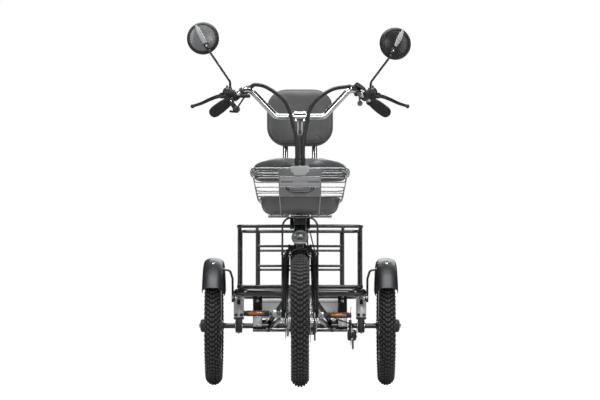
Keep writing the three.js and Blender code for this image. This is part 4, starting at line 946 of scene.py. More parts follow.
LOOP_HALF_WIDTH = 273
LOOP_FRONT = 850
LOOP_BACK = 1290
LOOP_Z = 404
CROSS_MEMBER = WHEELBASE - 48
BASKET_HALF_WIDTH = 267
BASKET_FRONT = 872
BASKET_BACK = 1268
BASKET_BASE_Z = 429.5
BASKET_TOP_Z = 692
BASKET_RAILS_Z = (519, 605)
CORNER_X = 186
DROP_PLATE_X = 188
LOW_BAR_Z = 243
CARRIER_X = 272
CASE_BEHIND = WHEELBASE + 112
FENDER_STAY = 1030
FENDER_LIP = 262

rear = Shape()
rear.tube(level_loop(LOOP_HALF_WIDTH, LOOP_FRONT, LOOP_BACK, LOOP_Z, 70, 10), 17, GLOSS_BLACK, 28,
          loop=True)
rear.tube([at(-262, CROSS_MEMBER, LOOP_Z), at(262, CROSS_MEMBER, LOOP_Z)], 12, GLOSS_BLACK, 24)
for sign in (1, -1):
    rear.weld(at(sign * 254, CROSS_MEMBER, LOOP_Z), X, 12, GLOSS_BLACK)
    plate_face = facing(at(sign * DROP_PLATE_X, CROSS_MEMBER, 318), -Y)
    rear.plate(rounded_rectangle(20.5, 78, 9, 5), 6, plate_face, GLOSS_BLACK, bevel=1)
    rear.block((38, 3, 46), at(sign * DROP_PLATE_X, CROSS_MEMBER - 4, 283), SILVER_PAINT, 1.4)
    for z in (266, 300, 374):
        rear.bolt(at(sign * DROP_PLATE_X, CROSS_MEMBER - (5.5 if z < 310 else 3), z), -Y, 5.2, ZINC)
    rear.block((41, 30, 5), at(sign * DROP_PLATE_X, CROSS_MEMBER + 12, 392), GLOSS_BLACK, 1.5)
rear.rod(at(-209, CROSS_MEMBER - 5, LOW_BAR_Z), at(209, CROSS_MEMBER - 5, LOW_BAR_Z), 6, GLOSS_BLACK, 18, 2)
for x in (-66, 66, -140, 140):
    rear.block((14, 20, 14), at(x, CROSS_MEMBER - 5, LOW_BAR_Z), SATIN_BLACK, 2.5)
piece("rear_loop_and_drop_plates", rear, "main_frame", ["rear_frame"])

for side, sign in SIDES:
    carrier = Shape()
    x = sign * CARRIER_X
    slot_hole = [(a, b + 26) for a, b in rounded_rectangle(7.5, 12, 7, 5)]
    carrier.plate(rounded_rectangle(22.5, 42, 7, 5), 5, facing(at(x, WHEELBASE - 24, 344), -Y),
                  SILVER_PAINT, [slot_hole], bevel=0.9)
    carrier.block((18, 4, 30), at(x, WHEELBASE - 19, 370), SATIN_BLACK, 1.5)
    carrier.block((43, 54, 5), at(x, WHEELBASE - 2, 384), SILVER_PAINT, 1.6)
    for edge in (-1, 1):
        carrier.block((4, 46, 74), at(x + edge * 20, WHEELBASE - 1, 346), SILVER_PAINT, 1.5)
    carrier.bolt(at(x - sign * 12, WHEELBASE - 27, 312), -Y, 5.5, SATIN_BLACK)
    carrier.bolt(at(x + sign * 12, WHEELBASE - 27, 312), -Y, 5.5, SATIN_BLACK)
    block_line = rear_axle(x)
    carrier.plate(rounded_rectangle(26, 31, 6), 29, facing(block_line, X), SATIN_BLACK, [circle(12.9, 28)],
                  bevel=2)
    for across in (-1, 1):
        carrier.lathe([(12.9, 12), (20, 12), (20, 16), (12.9, 16)], block_line, block_line + X * across,
                      ZINC, 30, loop=True)
    carrier.block((44, 50, 13), block_line + Z * (34 * MM), SATIN_BLACK, 3)
    for behind in (-19, 19):
        carrier.bolt(block_line + mm(0, behind, -30), -Z, 4.2, ZINC, 4)
    piece(f"{side}_axle_carrier", carrier, "main_frame", [f"axle_carrier_{side}"])

cargo = Shape()
for z in (BASKET_BASE_Z, BASKET_TOP_Z):
    cargo.tube(level_loop(BASKET_HALF_WIDTH, BASKET_FRONT, BASKET_BACK, z, 30, 8), 8, GLOSS_BLACK, 20,
               loop=True)
for x in (-CORNER_X, -62, 62, CORNER_X):
    cargo.rod(at(x, BASKET_FRONT, BASKET_BASE_Z), at(x, BASKET_BACK, BASKET_BASE_Z), 5.5, GLOSS_BLACK, 14)
for behind in range(912, 1240, 48):
    cargo.rod(at(-262, behind, BASKET_BASE_Z + 7), at(262, behind, BASKET_BASE_Z + 7), 2.4, GLOSS_BLACK, 10)
for behind in (BASKET_FRONT, BASKET_BACK):
    inward = 18 if behind == BASKET_FRONT else -18
    for x, y in ((-CORNER_X, behind), (CORNER_X, behind), (-265, behind + inward), (265, behind + inward)):
        cargo.rod(at(x, y, BASKET_BASE_Z), at(x, y, BASKET_TOP_Z), 6.5, GLOSS_BLACK, 16)
        cargo.weld(at(x, y, BASKET_TOP_Z - 8), Z, 6.5, GLOSS_BLACK, 1.6)
        cargo.weld(at(x, y, BASKET_BASE_Z + 8), Z, 6.5, GLOSS_BLACK, 1.6)
    for z in BASKET_RAILS_Z:
        cargo.rod(at(-CORNER_X, behind, z), at(CORNER_X, behind, z), 5.5, GLOSS_BLACK, 14)
        for x in (-CORNER_X, CORNER_X):
            cargo.weld(at(math.copysign(179, x), behind, z), X, 5.5, GLOSS_BLACK, 1.5)
for sign in (1, -1):
    cargo.rod(at(sign * 267, 1070, BASKET_BASE_Z), at(sign * 267, 1070, BASKET_TOP_Z), 6.5, GLOSS_BLACK, 16)
    for z in BASKET_RAILS_Z:
        cargo.rod(at(sign * 266, BASKET_FRONT + 18, z), at(sign * 266, BASKET_BACK - 18, z), 5.5,
                  GLOSS_BLACK, 14)
for x in (-CORNER_X, CORNER_X):
    for behind in (BASKET_FRONT + 40, BASKET_BACK - 40):
        cargo.bolt(at(x, behind, BASKET_BASE_Z + 5), Z, 5, ZINC)
piece("cargo_basket_rails", cargo, "main_frame", ["cargo_basket"])

case = Shape()
case.block((350, 60, 88), at(0, CASE_BEHIND, 343.9), PANEL_GREY, 7, segments=4)
case.block((352, 62, 2.2), at(0, CASE_BEHIND, 372), SATIN_BLACK, 0.9)
for face in (-1, 1):
    for x in (-150, 150):
        case.bolt(at(x, CASE_BEHIND + face * 30, 330), Y * face, 4, ZINC, 2)
    for i in range(6):
        case.block((4, 1.6, 40), at(-50 + 20 * i, CASE_BEHIND + face * 29.6, 330), PANEL_GREY, 0.7)
case.block((34, 4, 18), at(118, WHEELBASE + 141, 338), PLASTIC_BLACK, 3)
case.lathe([(7, 0), (7, 3), (4, 3.5), (0, 3)], at(118, WHEELBASE + 143, 338), at(118, WHEELBASE + 150, 338),
           ZINC, 20)
piece("under_basket_case", case, "main_frame", ["battery_case"])

for side, sign in SIDES:
    fender = Shape()
    centre = at(sign * HALF_TRACK, WHEELBASE, WHEEL_RADIUS)
    outer = [(45.5, 262), (46.3, 264), (46, 270), (44, 281), (39.5, 289), (32.5, 295), (21, 299.5),
             (10, 301.5)]
    outer = outer + [(0, 302)] + [(-x, r) for x, r in reversed(outer)]
    section = outer + [(x * 0.94, r - 3) for x, r in reversed(outer)]
    rings = []
    low, high = math.radians(32), math.radians(148)
    for i in range(41):
        share = i / 40
        a = low + (high - low) * share
        squeeze = 0.86 + 0.14 * math.sin(min(1.0, (1 - share) / 0.06) * math.pi / 2)
        arc = [(x * squeeze, FENDER_LIP + (r - FENDER_LIP) * squeeze) for x, r in section]
        rings.append([centre + mm(x, -r * math.cos(a), r * math.sin(a)) for x, r in arc])
    fender.skin(rings, FENDER_BLACK)
    a = math.radians(64)
    outward = Vector((0, -math.cos(a), math.sin(a)))
    spot = centre + outward * (302 * MM)
    fender.lathe([(8, -1), (8, 1), (5, 2), (0, 4.5)], spot, spot + outward, CHROME, 20)
    bracket = bent([at(sign * (HALF_TRACK - 41), FENDER_STAY, 512), at(sign * 308, FENDER_STAY, 505),
                    at(sign * 297, FENDER_STAY, 470), at(sign * 296, FENDER_STAY, 366)], 16, 6)
    fender.tube(bracket, 5, GLOSS_BLACK, 14)
    fender.block((16, 14, 34), at(sign * 293, FENDER_STAY, 388), SATIN_BLACK, 2.5)
    fender.bolt(at(sign * 293, 1023, 388), -Y, 4.5, ZINC)
    piece(f"{side}_rear_fender", fender, "main_frame", [f"rear_fender_{side}"])


def caliper(shape, centre, disc_x, size, body_x):
    """A cable-pulled disc caliper: two halves round the disc, an actuating arm, an adjuster and bolts."""
    width, depth, height = size
    for side in (-1, 1):
        inner = disc_x + side * 2.6
        outer = body_x + side * width / 2
        shape.block((abs(outer - inner), depth * 0.86, height * 0.8),
                    Vector((((inner + outer) / 2) * MM, centre.y, centre.z)), SATIN_BLACK, 4, segments=3)
    shape.block((width * 0.9, depth * 0.3, height * 0.9), centre + Y * (depth * 0.36 * MM), SATIN_BLACK, 3)
    knob_at = Vector(((body_x + width / 2) * MM, centre.y, centre.z))
    shape.lathe([(10, 0), (12, 1), (12, 3), (10, 4), (0, 4)], knob_at, knob_at + X, ZINC, 18)
    arm = [knob_at + mm(3, 0, 0), knob_at + mm(3, -6, 16), knob_at + mm(3, -9, 30)]
    shape.sweep(flowing(arm), rounded_rectangle(5, 1.8, 1.5), STEEL, up=X)
    for z in (-height * 0.32, height * 0.32):
        shape.bolt(centre + mm(0, -depth * 0.43, z), -Y, 4, ZINC)


rear_caliper = Shape()
caliper_at = at(229, WHEELBASE - 84, 222)
caliper(rear_caliper, caliper_at, REAR_ROTOR_X, (38, 40, 54), 229)
rear_caliper.plate(rounded_rectangle(33, 10, 5), 5, facing(caliper_at + mm(-17, 28, 18), X, up=Y),
                   SILVER_PAINT, [[(x + 20, y) for x, y in circle(4, 10)]])
rear_caliper.rod(caliper_at + mm(4, -10, -20), caliper_at + mm(4, -10, -62), 4, PLASTIC_BLACK, 14, 1)
rear_caliper.rod(caliper_at + mm(4, -10, -20), caliper_at + mm(4, -10, 32), 2.4, ZINC, 10)
piece("rear_caliper", rear_caliper, "main_frame", ["rear_brake_caliper"])


# ---------------------------------------------------------------- fork, stem and handlebar

LEG_TOP_X = 44
LEG_KNEE_X = 54.5
LEG_FOOT_X = 58
AXLE_NUT_X = 74
BAR_RADIUS = 12.7
BAR_BEHIND = 270
BAR_Z = 1106
BAR_INNER_BEND = (208, 276, 1224)
BAR_OUTER_BEND = (252, 284, 1202)
CROWN = on_steering_axis(548)
FRONT_AXLE = at(0, 0, WHEEL_RADIUS)

fork = Shape()
fork.rod(on_steering_axis(544), on_steering_axis(903), 14.3, STEEL, 28, 1)
fork.lathe([(24, 0), (24.5, 3), (22.5, 12), (21, 30), (14, 30)], on_steering_axis(560),
           on_steering_axis(603), CHROME, 36)
crown_half = [(20, 22), (31, 16), (45, 26), (49, 6), (52, -19), (37, -21), (31, -8), (22, -3)]
crown_outline = crown_half + [(-x, y) for x, y in reversed(crown_half)]
fork.plate(crown_outline, 36, facing(CROWN, -Vector((0, STEER_UP.z, -STEER_UP.y)), up=STEER_UP),
           GLOSS_BLACK, bevel=5)
for sign in (1, -1):
    top = CROWN + X * (sign * LEG_TOP_X * MM)
    foot = at(sign * LEG_FOOT_X, 2, WHEEL_RADIUS + 12)
    knee = top.lerp(foot, 0.08)
    knee.x = sign * LEG_KNEE_X * MM
    leg = along(bent([top, knee, foot], 50, 8), 12)
    last = len(leg) - 1
    fork.tube(leg, 13, GLOSS_BLACK, 26, scales=[1 - 0.4 * (i / last) ** 1.6 for i in range(last + 1)])
    fork.weld(leg[2], leg[3] - leg[2], 12.6, GLOSS_BLACK)
    dropout = [(-9, 30), (9, 30), (12, 6), (13, -4), (9, -13), (0, -15), (-9, -13), (-13, -4), (-12, 6)]
    fork.plate(dropout, 6, facing(at(sign * LEG_FOOT_X, 1, WHEEL_RADIUS), X, up=Z), GLOSS_BLACK,
               [circle(5.2, 16)], bevel=0.9)
    fork.lathe([(11, 0), (11, 2), (6, 2)], at(sign * (LEG_FOOT_X + 3.2), 0, WHEEL_RADIUS),
               at(sign * 80, 0, WHEEL_RADIUS), ZINC, 24)
    fork.lathe([(8.2, 0), (8.2, 7), (6.4, 8.5)], at(sign * (LEG_FOOT_X + 5.2), 0, WHEEL_RADIUS),
               at(sign * 80, 0, WHEEL_RADIUS), ZINC, 6)
    # A chrome wire loop beside the crown, which guides the brake hose.
    loop = flowing([CROWN + mm(sign * x, y, z) for x, y, z in
                    ((50, -12, -6), (62, -22, -5), (74, -24, -9), (74, -24, -16), (62, -22, -20),
                     (50, -12, -19))], 6)
    fork.tube(loop, 2.6, CHROME, 12)
fork.rod(at(-AXLE_NUT_X, 0, WHEEL_RADIUS), at(AXLE_NUT_X, 0, WHEEL_RADIUS), 5, ZINC, 18, 1.5)
arm_foot = at(LEG_FOOT_X - 3, 60, 240)
fork.sweep([at(LEG_FOOT_X, 8, 262), at(LEG_FOOT_X - 1, 34, 253), arm_foot], rounded_rectangle(7, 4, 2),
           GLOSS_BLACK, up=X)
fork.bolt(arm_foot + mm(4, 0, 0), X, 4.5, ZINC)
piece("fork_crown_and_legs", fork, "steering", ["fork"])

stem = Shape()
stem_foot = on_steering_axis(782)
stem_top = on_steering_axis(1052)
stem_length = (stem_top - stem_foot).length / MM
stem.lathe([(14.8, 0), (26, 0), (27, 2), (27, 9), (21, 12), (20, 14), (20, stem_length - 3),
            (17, stem_length), (14.8, stem_length)], stem_foot, stem_top, CHROME, 40, loop=True)
for distance in (128, 150):
    ring_at = stem_foot + STEER_UP * (distance * MM)
    stem.lathe([(20, 0), (22.6, 1), (22.6, 14), (20, 15)], ring_at, stem_top, SATIN_BLACK, 36)
    stem.bolt(ring_at + mm(0, 22, 6), Y, 4, ZINC)
stem.lathe([(20, 0), (23.5, 2), (23.5, 92), (20, 94)], stem_foot + STEER_UP * (16 * MM), stem_top,
           PLASTIC_BLACK, 36)
bar_point = at(0, BAR_BEHIND, BAR_Z)
arm_start = stem_top - STEER_UP * (18 * MM)
arm_path = flowing([arm_start, arm_start.lerp(bar_point, 0.35) + Y * (3 * MM),
                    arm_start.lerp(bar_point, 0.7) + Y * (2 * MM), bar_point], 5)
stem.sweep(arm_path, rounded_rectangle(17, 14, 9, 5), CHROME, up=X,
           scales=[1.1 - 0.2 * math.sin(math.pi * i / (len(arm_path) - 1)) for i in range(len(arm_path))])
stem.lathe([(13.2, -26), (20.5, -26), (22, -24.5), (22, 24.5), (20.5, 26), (13.2, 26)], bar_point,
           bar_point + X, CHROME, 40, loop=True)
for x in (-17, 17):
    for z in (-16, 16):
        stem.block((12, 12, 10), bar_point + mm(x, -16, z), CHROME, 3)
        stem.lathe([(4.2, 0), (4.2, 4), (3.4, 5), (2.2, 5), (2.2, 2), (0, 2)], bar_point + mm(x, -21, z),
                   bar_point + mm(x, -40, z), ZINC, 16)
stem.lathe([(15, 0), (15, 3), (9, 5), (4.5, 5), (4.5, 2), (0, 2)], stem_top, stem_top + STEER_UP, CHROME,
           28)
piece("stem_and_clamp", stem, "steering", ["stem"])

GRIP_START = (284, 326, 1184)
GRIP_END = (364, 432, 1138)


def grip_line(sign, distance):
    start = beside(sign, GRIP_START)
    end = beside(sign, GRIP_END)
    return start + (end - start).normalized() * (distance * MM)


bar = Shape()
corners = [grip_line(-1, 134), beside(-1, BAR_OUTER_BEND), beside(-1, BAR_INNER_BEND),
           at(-98, BAR_BEHIND, BAR_Z), at(98, BAR_BEHIND, BAR_Z), beside(1, BAR_INNER_BEND),
           beside(1, BAR_OUTER_BEND), grip_line(1, 134)]
bar.tube(bent(corners, 34, 10), BAR_RADIUS, CHROME, 32)
for x in (-40, 40):
    bar.lathe([(BAR_RADIUS, -3), (13.4, -2), (13.4, 2), (BAR_RADIUS, 3)], at(x, BAR_BEHIND, BAR_Z),
              at(x + 1, BAR_BEHIND, BAR_Z), CHROME, 32)
piece("swept_handlebar", bar, "steering", ["handlebar"])

for side, sign in SIDES:
    first = grip_line(sign, 10)
    towards = grip_line(sign, 60)
    grip = Shape()
    profile = [(13.6, 0), (20, 0), (21, 1.5), (21, 5), (17, 7)]
    for i in range(13):
        d = 10 + 8.4 * i
        swell = 17.5 + 5.5 * math.sin(math.pi * (i / 12) ** 0.8 * 0.62)
        profile += [(swell, d), (swell + 0.9, d + 1.4), (swell + 0.9, d + 4.4), (swell, d + 5.8)]
    profile += [(21.5, 119), (22, 122), (21, 127), (18, 131), (12, 132.5), (6, 132), (0, 131)]
    grip.lathe(profile, first, towards, GRIP_RUBBER, 36)
    palm = [grip_line(sign, 10 + d) + mm(0, 5, -3) for d in (22, 50, 80, 108, 126)]
    grip.sweep(flowing(palm, 5), rounded_rectangle(20, 8, 7.5, 5), GRIP_RUBBER, up=Z,
               scales=[0.55 + 0.45 * math.sin(math.pi * (0.15 + 0.85 * i / 20) * 0.75) for i in range(21)])
    piece(f"{side}_ergonomic_grip", grip, "steering", [f"grip_{side}"])


# ---------------------------------------------------------------- brake levers, shifter, display and throttle

LEVER_PIVOT = (322, 292, 1196)
LEVER_TIP = (446, 368, 1160)


def hinge_axis(sign):
    """The hinge line of a brake lever, square to the grip and to the blade."""
    reach = beside(sign, LEVER_TIP) - beside(sign, LEVER_PIVOT)
    axis = (grip_line(sign, 1) - grip_line(sign, 0)).cross(reach).normalized()
    return axis if axis.z > 0 else -axis


for side, sign in SIDES:
    pivot = beside(sign, LEVER_PIVOT)
    tip = beside(sign, LEVER_TIP)
    up = hinge_axis(sign)
    ring_start = grip_line(sign, -40)
    ring_end = grip_line(sign, 0)
    perch = Shape()
    perch.lathe([(13.4, 0), (17.5, 0), (18.5, 1.5), (18.5, 18.5), (17.5, 20), (13.4, 20)], ring_start,
                ring_end, SATIN_BLACK, 32, loop=True)
    body = flowing([ring_start + mm(sign * 6, -14, 4), ring_start.lerp(pivot, 0.4) + mm(0, -10, 5),
                    ring_start.lerp(pivot, 0.75) + mm(0, -4, 2), pivot - (tip - pivot) * 0.06], 5)
    perch.sweep(body, rounded_rectangle(14, 13, 5), SATIN_BLACK, up=up,
                scales=[1.12 - 0.25 * i / (len(body) - 1) for i in range(len(body))])
    for level in (-1, 1):
        perch.lathe([(9.5, 4.6), (10.5, 5.4), (10.5, 8.2), (9, 9.4), (0, 9.4)], pivot, pivot + up * level,
                    SATIN_BLACK, 26)
        perch.block((15, 22, 4.2), pivot - (tip - pivot).normalized() * (9 * MM) + up * (level * 6.8 * MM),
                    SATIN_BLACK, 1.5, turn=facing(Vector(), up, up=(tip - pivot)).to_3x3().to_4x4())
    perch.bolt(pivot + up * (9.2 * MM), up, 4, ZINC, 2.4)
    perch.bolt(ring_start + mm(0, 17, -6) + (ring_end - ring_start).normalized() * (10 * MM),
               Vector((0, 1, -0.3)), 3.6, ZINC)
    dome = at(sign * 300, 282, 1206)
    perch.lathe([(14, -8), (17.5, -5), (18.5, 2), (18, 8), (15.6, 15), (11, 20), (5, 22.6), (0, 23.4)],
                dome, dome + Z, PLASTIC_BLACK, 32)
    perch.rod(dome + Z * (20 * MM), dome + Z * (31 * MM), 4, PLASTIC_BLACK, 14, 1.5)
    barrel = ring_start + mm(-sign * 2, -14, 4)
    inward = Vector((-sign, -0.35, 0.15))
    perch.lathe([(6.5, 0), (6.5, 9), (5.2, 10), (5.2, 16), (3.8, 18), (3.8, 24)], barrel, barrel + inward,
                ZINC, 18)
    piece(f"{side}_brake_perch", perch, "steering", [f"brake_perch_{side}"])

    lever = Shape()
    lever.lathe([(4, -3.7), (8.6, -3.7), (9, -2.8), (9, 2.8), (8.6, 3.7), (4, 3.7)], pivot, pivot + up,
                SATIN_BLACK, 26, loop=True)
    lever.rod(pivot - up * (3.6 * MM), pivot + up * (3.6 * MM), 3.9, ZINC, 16)
    outward = (tip - pivot).normalized()
    ahead = up.cross(outward) * (1 if up.cross(outward).y < 0 else -1)
    blade = flowing([pivot + outward * (5 * MM), pivot + outward * (26 * MM) + ahead * (5 * MM),
                     pivot + outward * (64 * MM) + ahead * (3 * MM),
                     pivot + outward * (104 * MM) - ahead * (2 * MM), tip - outward * (5 * MM)], 6)
    lever.sweep(blade, rounded_rectangle(6.5, 6.2, 3), SATIN_BLACK, up=up,
                scales=[1.1 - 0.3 * i / (len(blade) - 1) for i in range(len(blade))])
    lever.ball(tip, 8.6, SATIN_BLACK, 20)
    piece(f"{side}_ball_ended_brake_lever", lever, f"{side}_brake_lever",
          [f"brake_lever_{side}"])


def rise_run(sign, share):
    return beside(sign, BAR_INNER_BEND).lerp(beside(sign, BAR_OUTER_BEND), share)


def bar_clamp(shape, sign):
    start = rise_run(sign, 0.5)
    end = rise_run(sign, 0.78)
    width = (end - start).length / MM
    shape.lathe([(13.3, 0), (18, 0), (19, 1.2), (19, width - 1.2), (18, width), (13.3, width)], start, end,
                PLASTIC_BLACK, 32, loop=True)
    shape.bolt(start.lerp(end, 0.5) + mm(0, 18, -4), Y, 3.4, ZINC)


shifter = Shape()
bar_clamp(shifter, -1)
shifter_at = at(-258, 283, 1152)
arm = flowing([rise_run(-1, 0.7) + mm(-38, 6, -14), shifter_at + mm(-26, 4, 20),
               shifter_at + mm(-8, 0, -8)], 5)
shifter.sweep(arm, rounded_rectangle(10, 9, 5), PLASTIC_BLACK, up=Y)
shifter.sweep(flowing([rise_run(-1, 0.64) + mm(-4, 0, -12), rise_run(-1, 0.7) + mm(-22, 4, -16),
                       arm[0]], 5), rounded_rectangle(9, 8, 4), PLASTIC_BLACK, up=Y)
shifter.lathe([(13, -22), (15, -20), (15, -8), (12, -4), (0, -3)], shifter_at + X * (-4 * MM),
              shifter_at + mm(-4, 0, 1), PLASTIC_BLACK, 32)
shifter.rod(shifter_at + mm(-4, -3, -14), rise_run(-1, 0.2) + mm(2, -5, -12), 3.6, CABLE_BLACK, 14, 1)
shifter.block((44, 22, 15), at(-226, 272, 1192), PLASTIC_BLACK, 6.5, segments=4)
shifter.rod(at(-236, 276, 1196), at(-248, 284, 1204), 6, PLASTIC_BLACK, 16)
shifter.bolt(arm[5] - Y * (8 * MM), -Y, 3, ZINC, 2)
shifter.lathe([(6.5, 0), (6.5, 8), (4.6, 9), (4.6, 16)], at(-246, 272, 1206), at(-216, 262, 1214), ZINC, 18)
piece("gear_shifter", shifter, "steering", ["shifter"])
shift_lever = Shape()
shift_lever.lathe([(8, 0), (9, 0.8), (9, 6.6), (8, 7.4), (0, 7.4)], at(-262, 283, 1131.4),
                  at(-262, 283, 1120), SATIN_BLACK, 28)
paddle = flowing([at(-262, 282, 1127.5), at(-272, 280, 1127), at(-281, 277, 1128), at(-288, 275, 1130)], 5)
shift_lever.sweep(paddle, rounded_rectangle(6.5, 3, 2.6), PLASTIC_BLACK, up=Z,
                  scales=[1.0 + 0.5 * (i / 15) ** 2 for i in range(16)])
for i in range(4):
    shift_lever.block((2.2, 14, 1.6), at(-276 - 3.4 * i, 276, 1131 + 0.5 * i), GRIP_RUBBER, 0.6)
piece("shift_paddle", shift_lever, "gear_lever", ["shift_lever"])

display = Shape()
bar_clamp(display, 1)
display_at = at(243, 268, 1233)
hood = [(-34, -14), (-16, 10), (-10, 14), (-4, 13), (12, 2), (24, -8), (29, -18), (22, -20), (6, -12),
        (-12, -2), (-27, -16)]
display.plate(hood, 24, facing(display_at, -Y), PLASTIC_BLACK, bevel=2.5)
display.block((30, 3, 15), display_at + mm(-1, 12.5, -1), SCREEN, 1)
for x in (-7, 7):
    display.lathe([(3, 0), (3, 1.2), (2.2, 1.8), (0, 1.8)], display_at + mm(x, 12, -12),
                  display_at + mm(x, 20, -12), GRIP_RUBBER, 18)
display.block((12, 16, 12), at(238, 270, 1212), PLASTIC_BLACK, 3)
piece("display_and_clamp", display, "steering", ["display"])
throttle = Shape()
throttle.lathe([(8.2, 0), (9, 0.8), (9, 9.2), (8.2, 10), (0, 10)], at(243, 261, 1198), at(243, 251, 1198),
               SATIN_BLACK, 28)
throttle.sweep(flowing([at(243, 256.5, 1194), at(244.5, 256.5, 1180), at(245.5, 256.5, 1168)], 5),
               rounded_rectangle(4.6, 3.8, 2.4), PLASTIC_BLACK, up=X)
throttle.lathe([(6.5, 0), (10.5, 0), (11, 0.8), (11, 7.2), (10.5, 8), (6.5, 8)], at(246, 260.5, 1160),
               at(246, 252.5, 1160), PLASTIC_BLACK, 28, loop=True)
throttle.lathe([(0, 3), (6.8, 3), (6.8, 5), (0, 5)], at(246, 260.5, 1160), at(246, 252.5, 1160),
               SATIN_BLACK, 24)
piece("thumb_throttle", throttle, "throttle_lever", ["throttle"])


# ---------------------------------------------------------------- mirrors and conduits

MIRROR_RADIUS = 67
MIRROR_DOME = [(64.5, -6), (64.5, -1), (61, 2.5), (55, 6.2), (45, 10.0), (32, 12.8), (18, 14.4), (0, 15)]
MIRRORS = {
    "left": {"base": (289, 309, 1212), "bend": (293, 300, 1254), "joint": (374, 284, 1360),
             "centre": (396, 312, 1415), "yaw": 0.3, "back": PLASTIC_BLACK, "stripe": (-16, 61)},
    "right": {"base": (-289, 309, 1212), "bend": (-288, 300, 1254), "joint": (-374, 284, 1380),
              "centre": (-402, 312, 1437), "yaw": -0.1, "back": PLATE_GREY, "stripe": (-44, 60)},
}


def dome_height(radius):
    """How far the mirror's back stands proud at a distance from its middle."""
    for (r0, h0), (r1, h1) in zip(MIRROR_DOME[1:], MIRROR_DOME[2:]):
        if r1 <= radius <= r0:
            return h1 + (h0 - h1) * (radius - r1) / (r0 - r1)
    return MIRROR_DOME[1][1]


for side, sign in SIDES:
    m = MIRRORS[side]
    foot = at(*m["base"])
    joint = at(*m["joint"])
    middle = at(*m["centre"])
    arm = Shape()
    arm.tube(bent([foot, at(*m["bend"]), joint], 14, 8), 4.8, GLOSS_BLACK, 20)
    arm.lathe([(8.5, -1), (10.6, 0), (10.6, 12), (8.5, 16), (5, 24)], foot, foot + Z, SATIN_BLACK, 6)
    arm.lathe([(8, 14), (8, 20), (5.6, 22)], foot, foot + Z, ZINC, 6)
    arm.ball(joint, 7.2, SATIN_BLACK, 18)
    piece(f"{side}_mirror_stalk", arm, f"{side}_mirror_arm", [f"mirror_arm_{side}"])

    forward = Vector((math.sin(m["yaw"]), -math.cos(m["yaw"]), 0))
    mirror = Shape()
    mirror.lathe([(60, -11.5), (65.5, -13.8), (MIRROR_RADIUS, -12), (MIRROR_RADIUS, -5), (65.8, 1.5),
                  (62, 5.4), (58, 7.8), (55.5, 8.2), (54.5, 5)], middle, middle + forward, SATIN_BLACK, 56)
    mirror.lathe(MIRROR_DOME, middle, middle + forward, m["back"], 56)
    mirror.lathe([(0, -11.2), (30, -11.6), (60.5, -12.2), (60.5, -10)], middle, middle + forward,
                 MIRROR_GLASS, 56)
    # The blade-shaped trim on the back, which points away from the joint.
    face = facing(middle, forward, up=middle - joint)
    first, last = m["stripe"]
    rings = []
    for i in range(17):
        reach = first + (last - first) * i / 16
        half = 2.5 + 7.5 * math.sin(math.pi * (i + 0.5) / 17) ** 0.6
        lift = max(dome_height(min(61, abs(reach))), 8.5) + 2
        rings.append([face @ mm(y * half, reach, lift + h)
                      for y, h in ((-1, -5), (-1, -0.6), (-0.82, 0.4), (0.82, 0.4), (1, -0.6), (1, -5))])
    mirror.skin(rings, TRIM_GREY)
    for edge in (-1, 1):
        rings = []
        for i in range(3, 14):
            reach = first + (last - first) * i / 16
            lift = max(dome_height(min(61, abs(reach))), 8.5) + 2.5
            rings.append([face @ mm(edge * 4.2 + y, reach, lift + h)
                          for y, h in ((-0.7, -1), (-0.7, 0.1), (0.7, 0.1), (0.7, -1))])
        mirror.skin(rings, PLATE_GREY)
    mirror.tube([joint.lerp(middle, t) for t in (0.16, 0.3, 0.55)], 8, PLASTIC_BLACK, 20,
                scales=[0.9, 1.0, 1.35])
    mirror.ball(joint.lerp(middle, 0.38) + forward * (9 * MM), 4, ZINC, 14)
    piece(f"{side}_round_mirror", mirror, f"{side}_mirror", [f"mirror_{side}"])

CONDUITS = {
    "cable_right": [(-200, 258, 1228), (-184, 250, 1236), (-143, 240, 1227), (-94, 232, 1196),
                    (-66, 228, 1170), (-45, 226, 1130), (-26, 225, 1062), (-15, 222, 1012),
                    (-12.5, 222, 930), (-16, 228, 870), (-33, 228, 800), (-33, 206, 740), (-33, 184, 680),
                    (-33, 170, 640)],
    "cable_left": [(204, 258, 1230), (140, 240, 1218), (90, 232, 1190), (56, 228, 1158), (40, 226, 1128),
                   (25, 225, 1062), (15, 222, 1012), (12.5, 222, 930), (16, 228, 870), (33, 228, 800),
                   (33, 206, 740), (33, 184, 680), (33, 170, 640)],
}


def declared_cord(name, line, radius, body, ridges, bands, extras):
    """A cord as its own piece, with the bands and other things on it as a second piece."""
    sleeve = Shape()
    sleeve.tube(line, radius, CABLE_BLACK, 18, scales=[ridges[i % len(ridges)] for i in range(len(line))])
    for i in bands:
        extras.lathe([(radius - 0.1, -3), (radius + 1.3, -2.4), (radius + 1.3, 2.4), (radius - 0.1, 3)],
                     line[i], line[i + 1], PLASTIC_BLACK, 18)
    obj = piece(f"{name}_sleeve", sleeve, body, [name])
    on_it = piece(f"{name}_bands", extras, body)


for name, route in CONDUITS.items():
    line = along(flowing([at(*point) for point in route], 8), 1.75)
    sign = 1 if line[0].x > 0 else -1
    clamp_side = at(sign * 232, 268, 1219)
    wires = Shape()
    for offset in (-3, 3):
        wires.tube(flowing([line[0] + mm(-sign * 4, 0, offset), line[0] + mm(sign * 12, -2, offset),
                            line[0].lerp(clamp_side, 0.6) + mm(0, -20, offset * 1.5),
                            clamp_side + mm(0, -16, offset)], 6), 2.5, CABLE_BLACK, 10)
    declared_cord(name, line, 8, "steering", (1.0, 0.985, 0.95, 0.985), range(0, len(line) - 1, 84), wires)

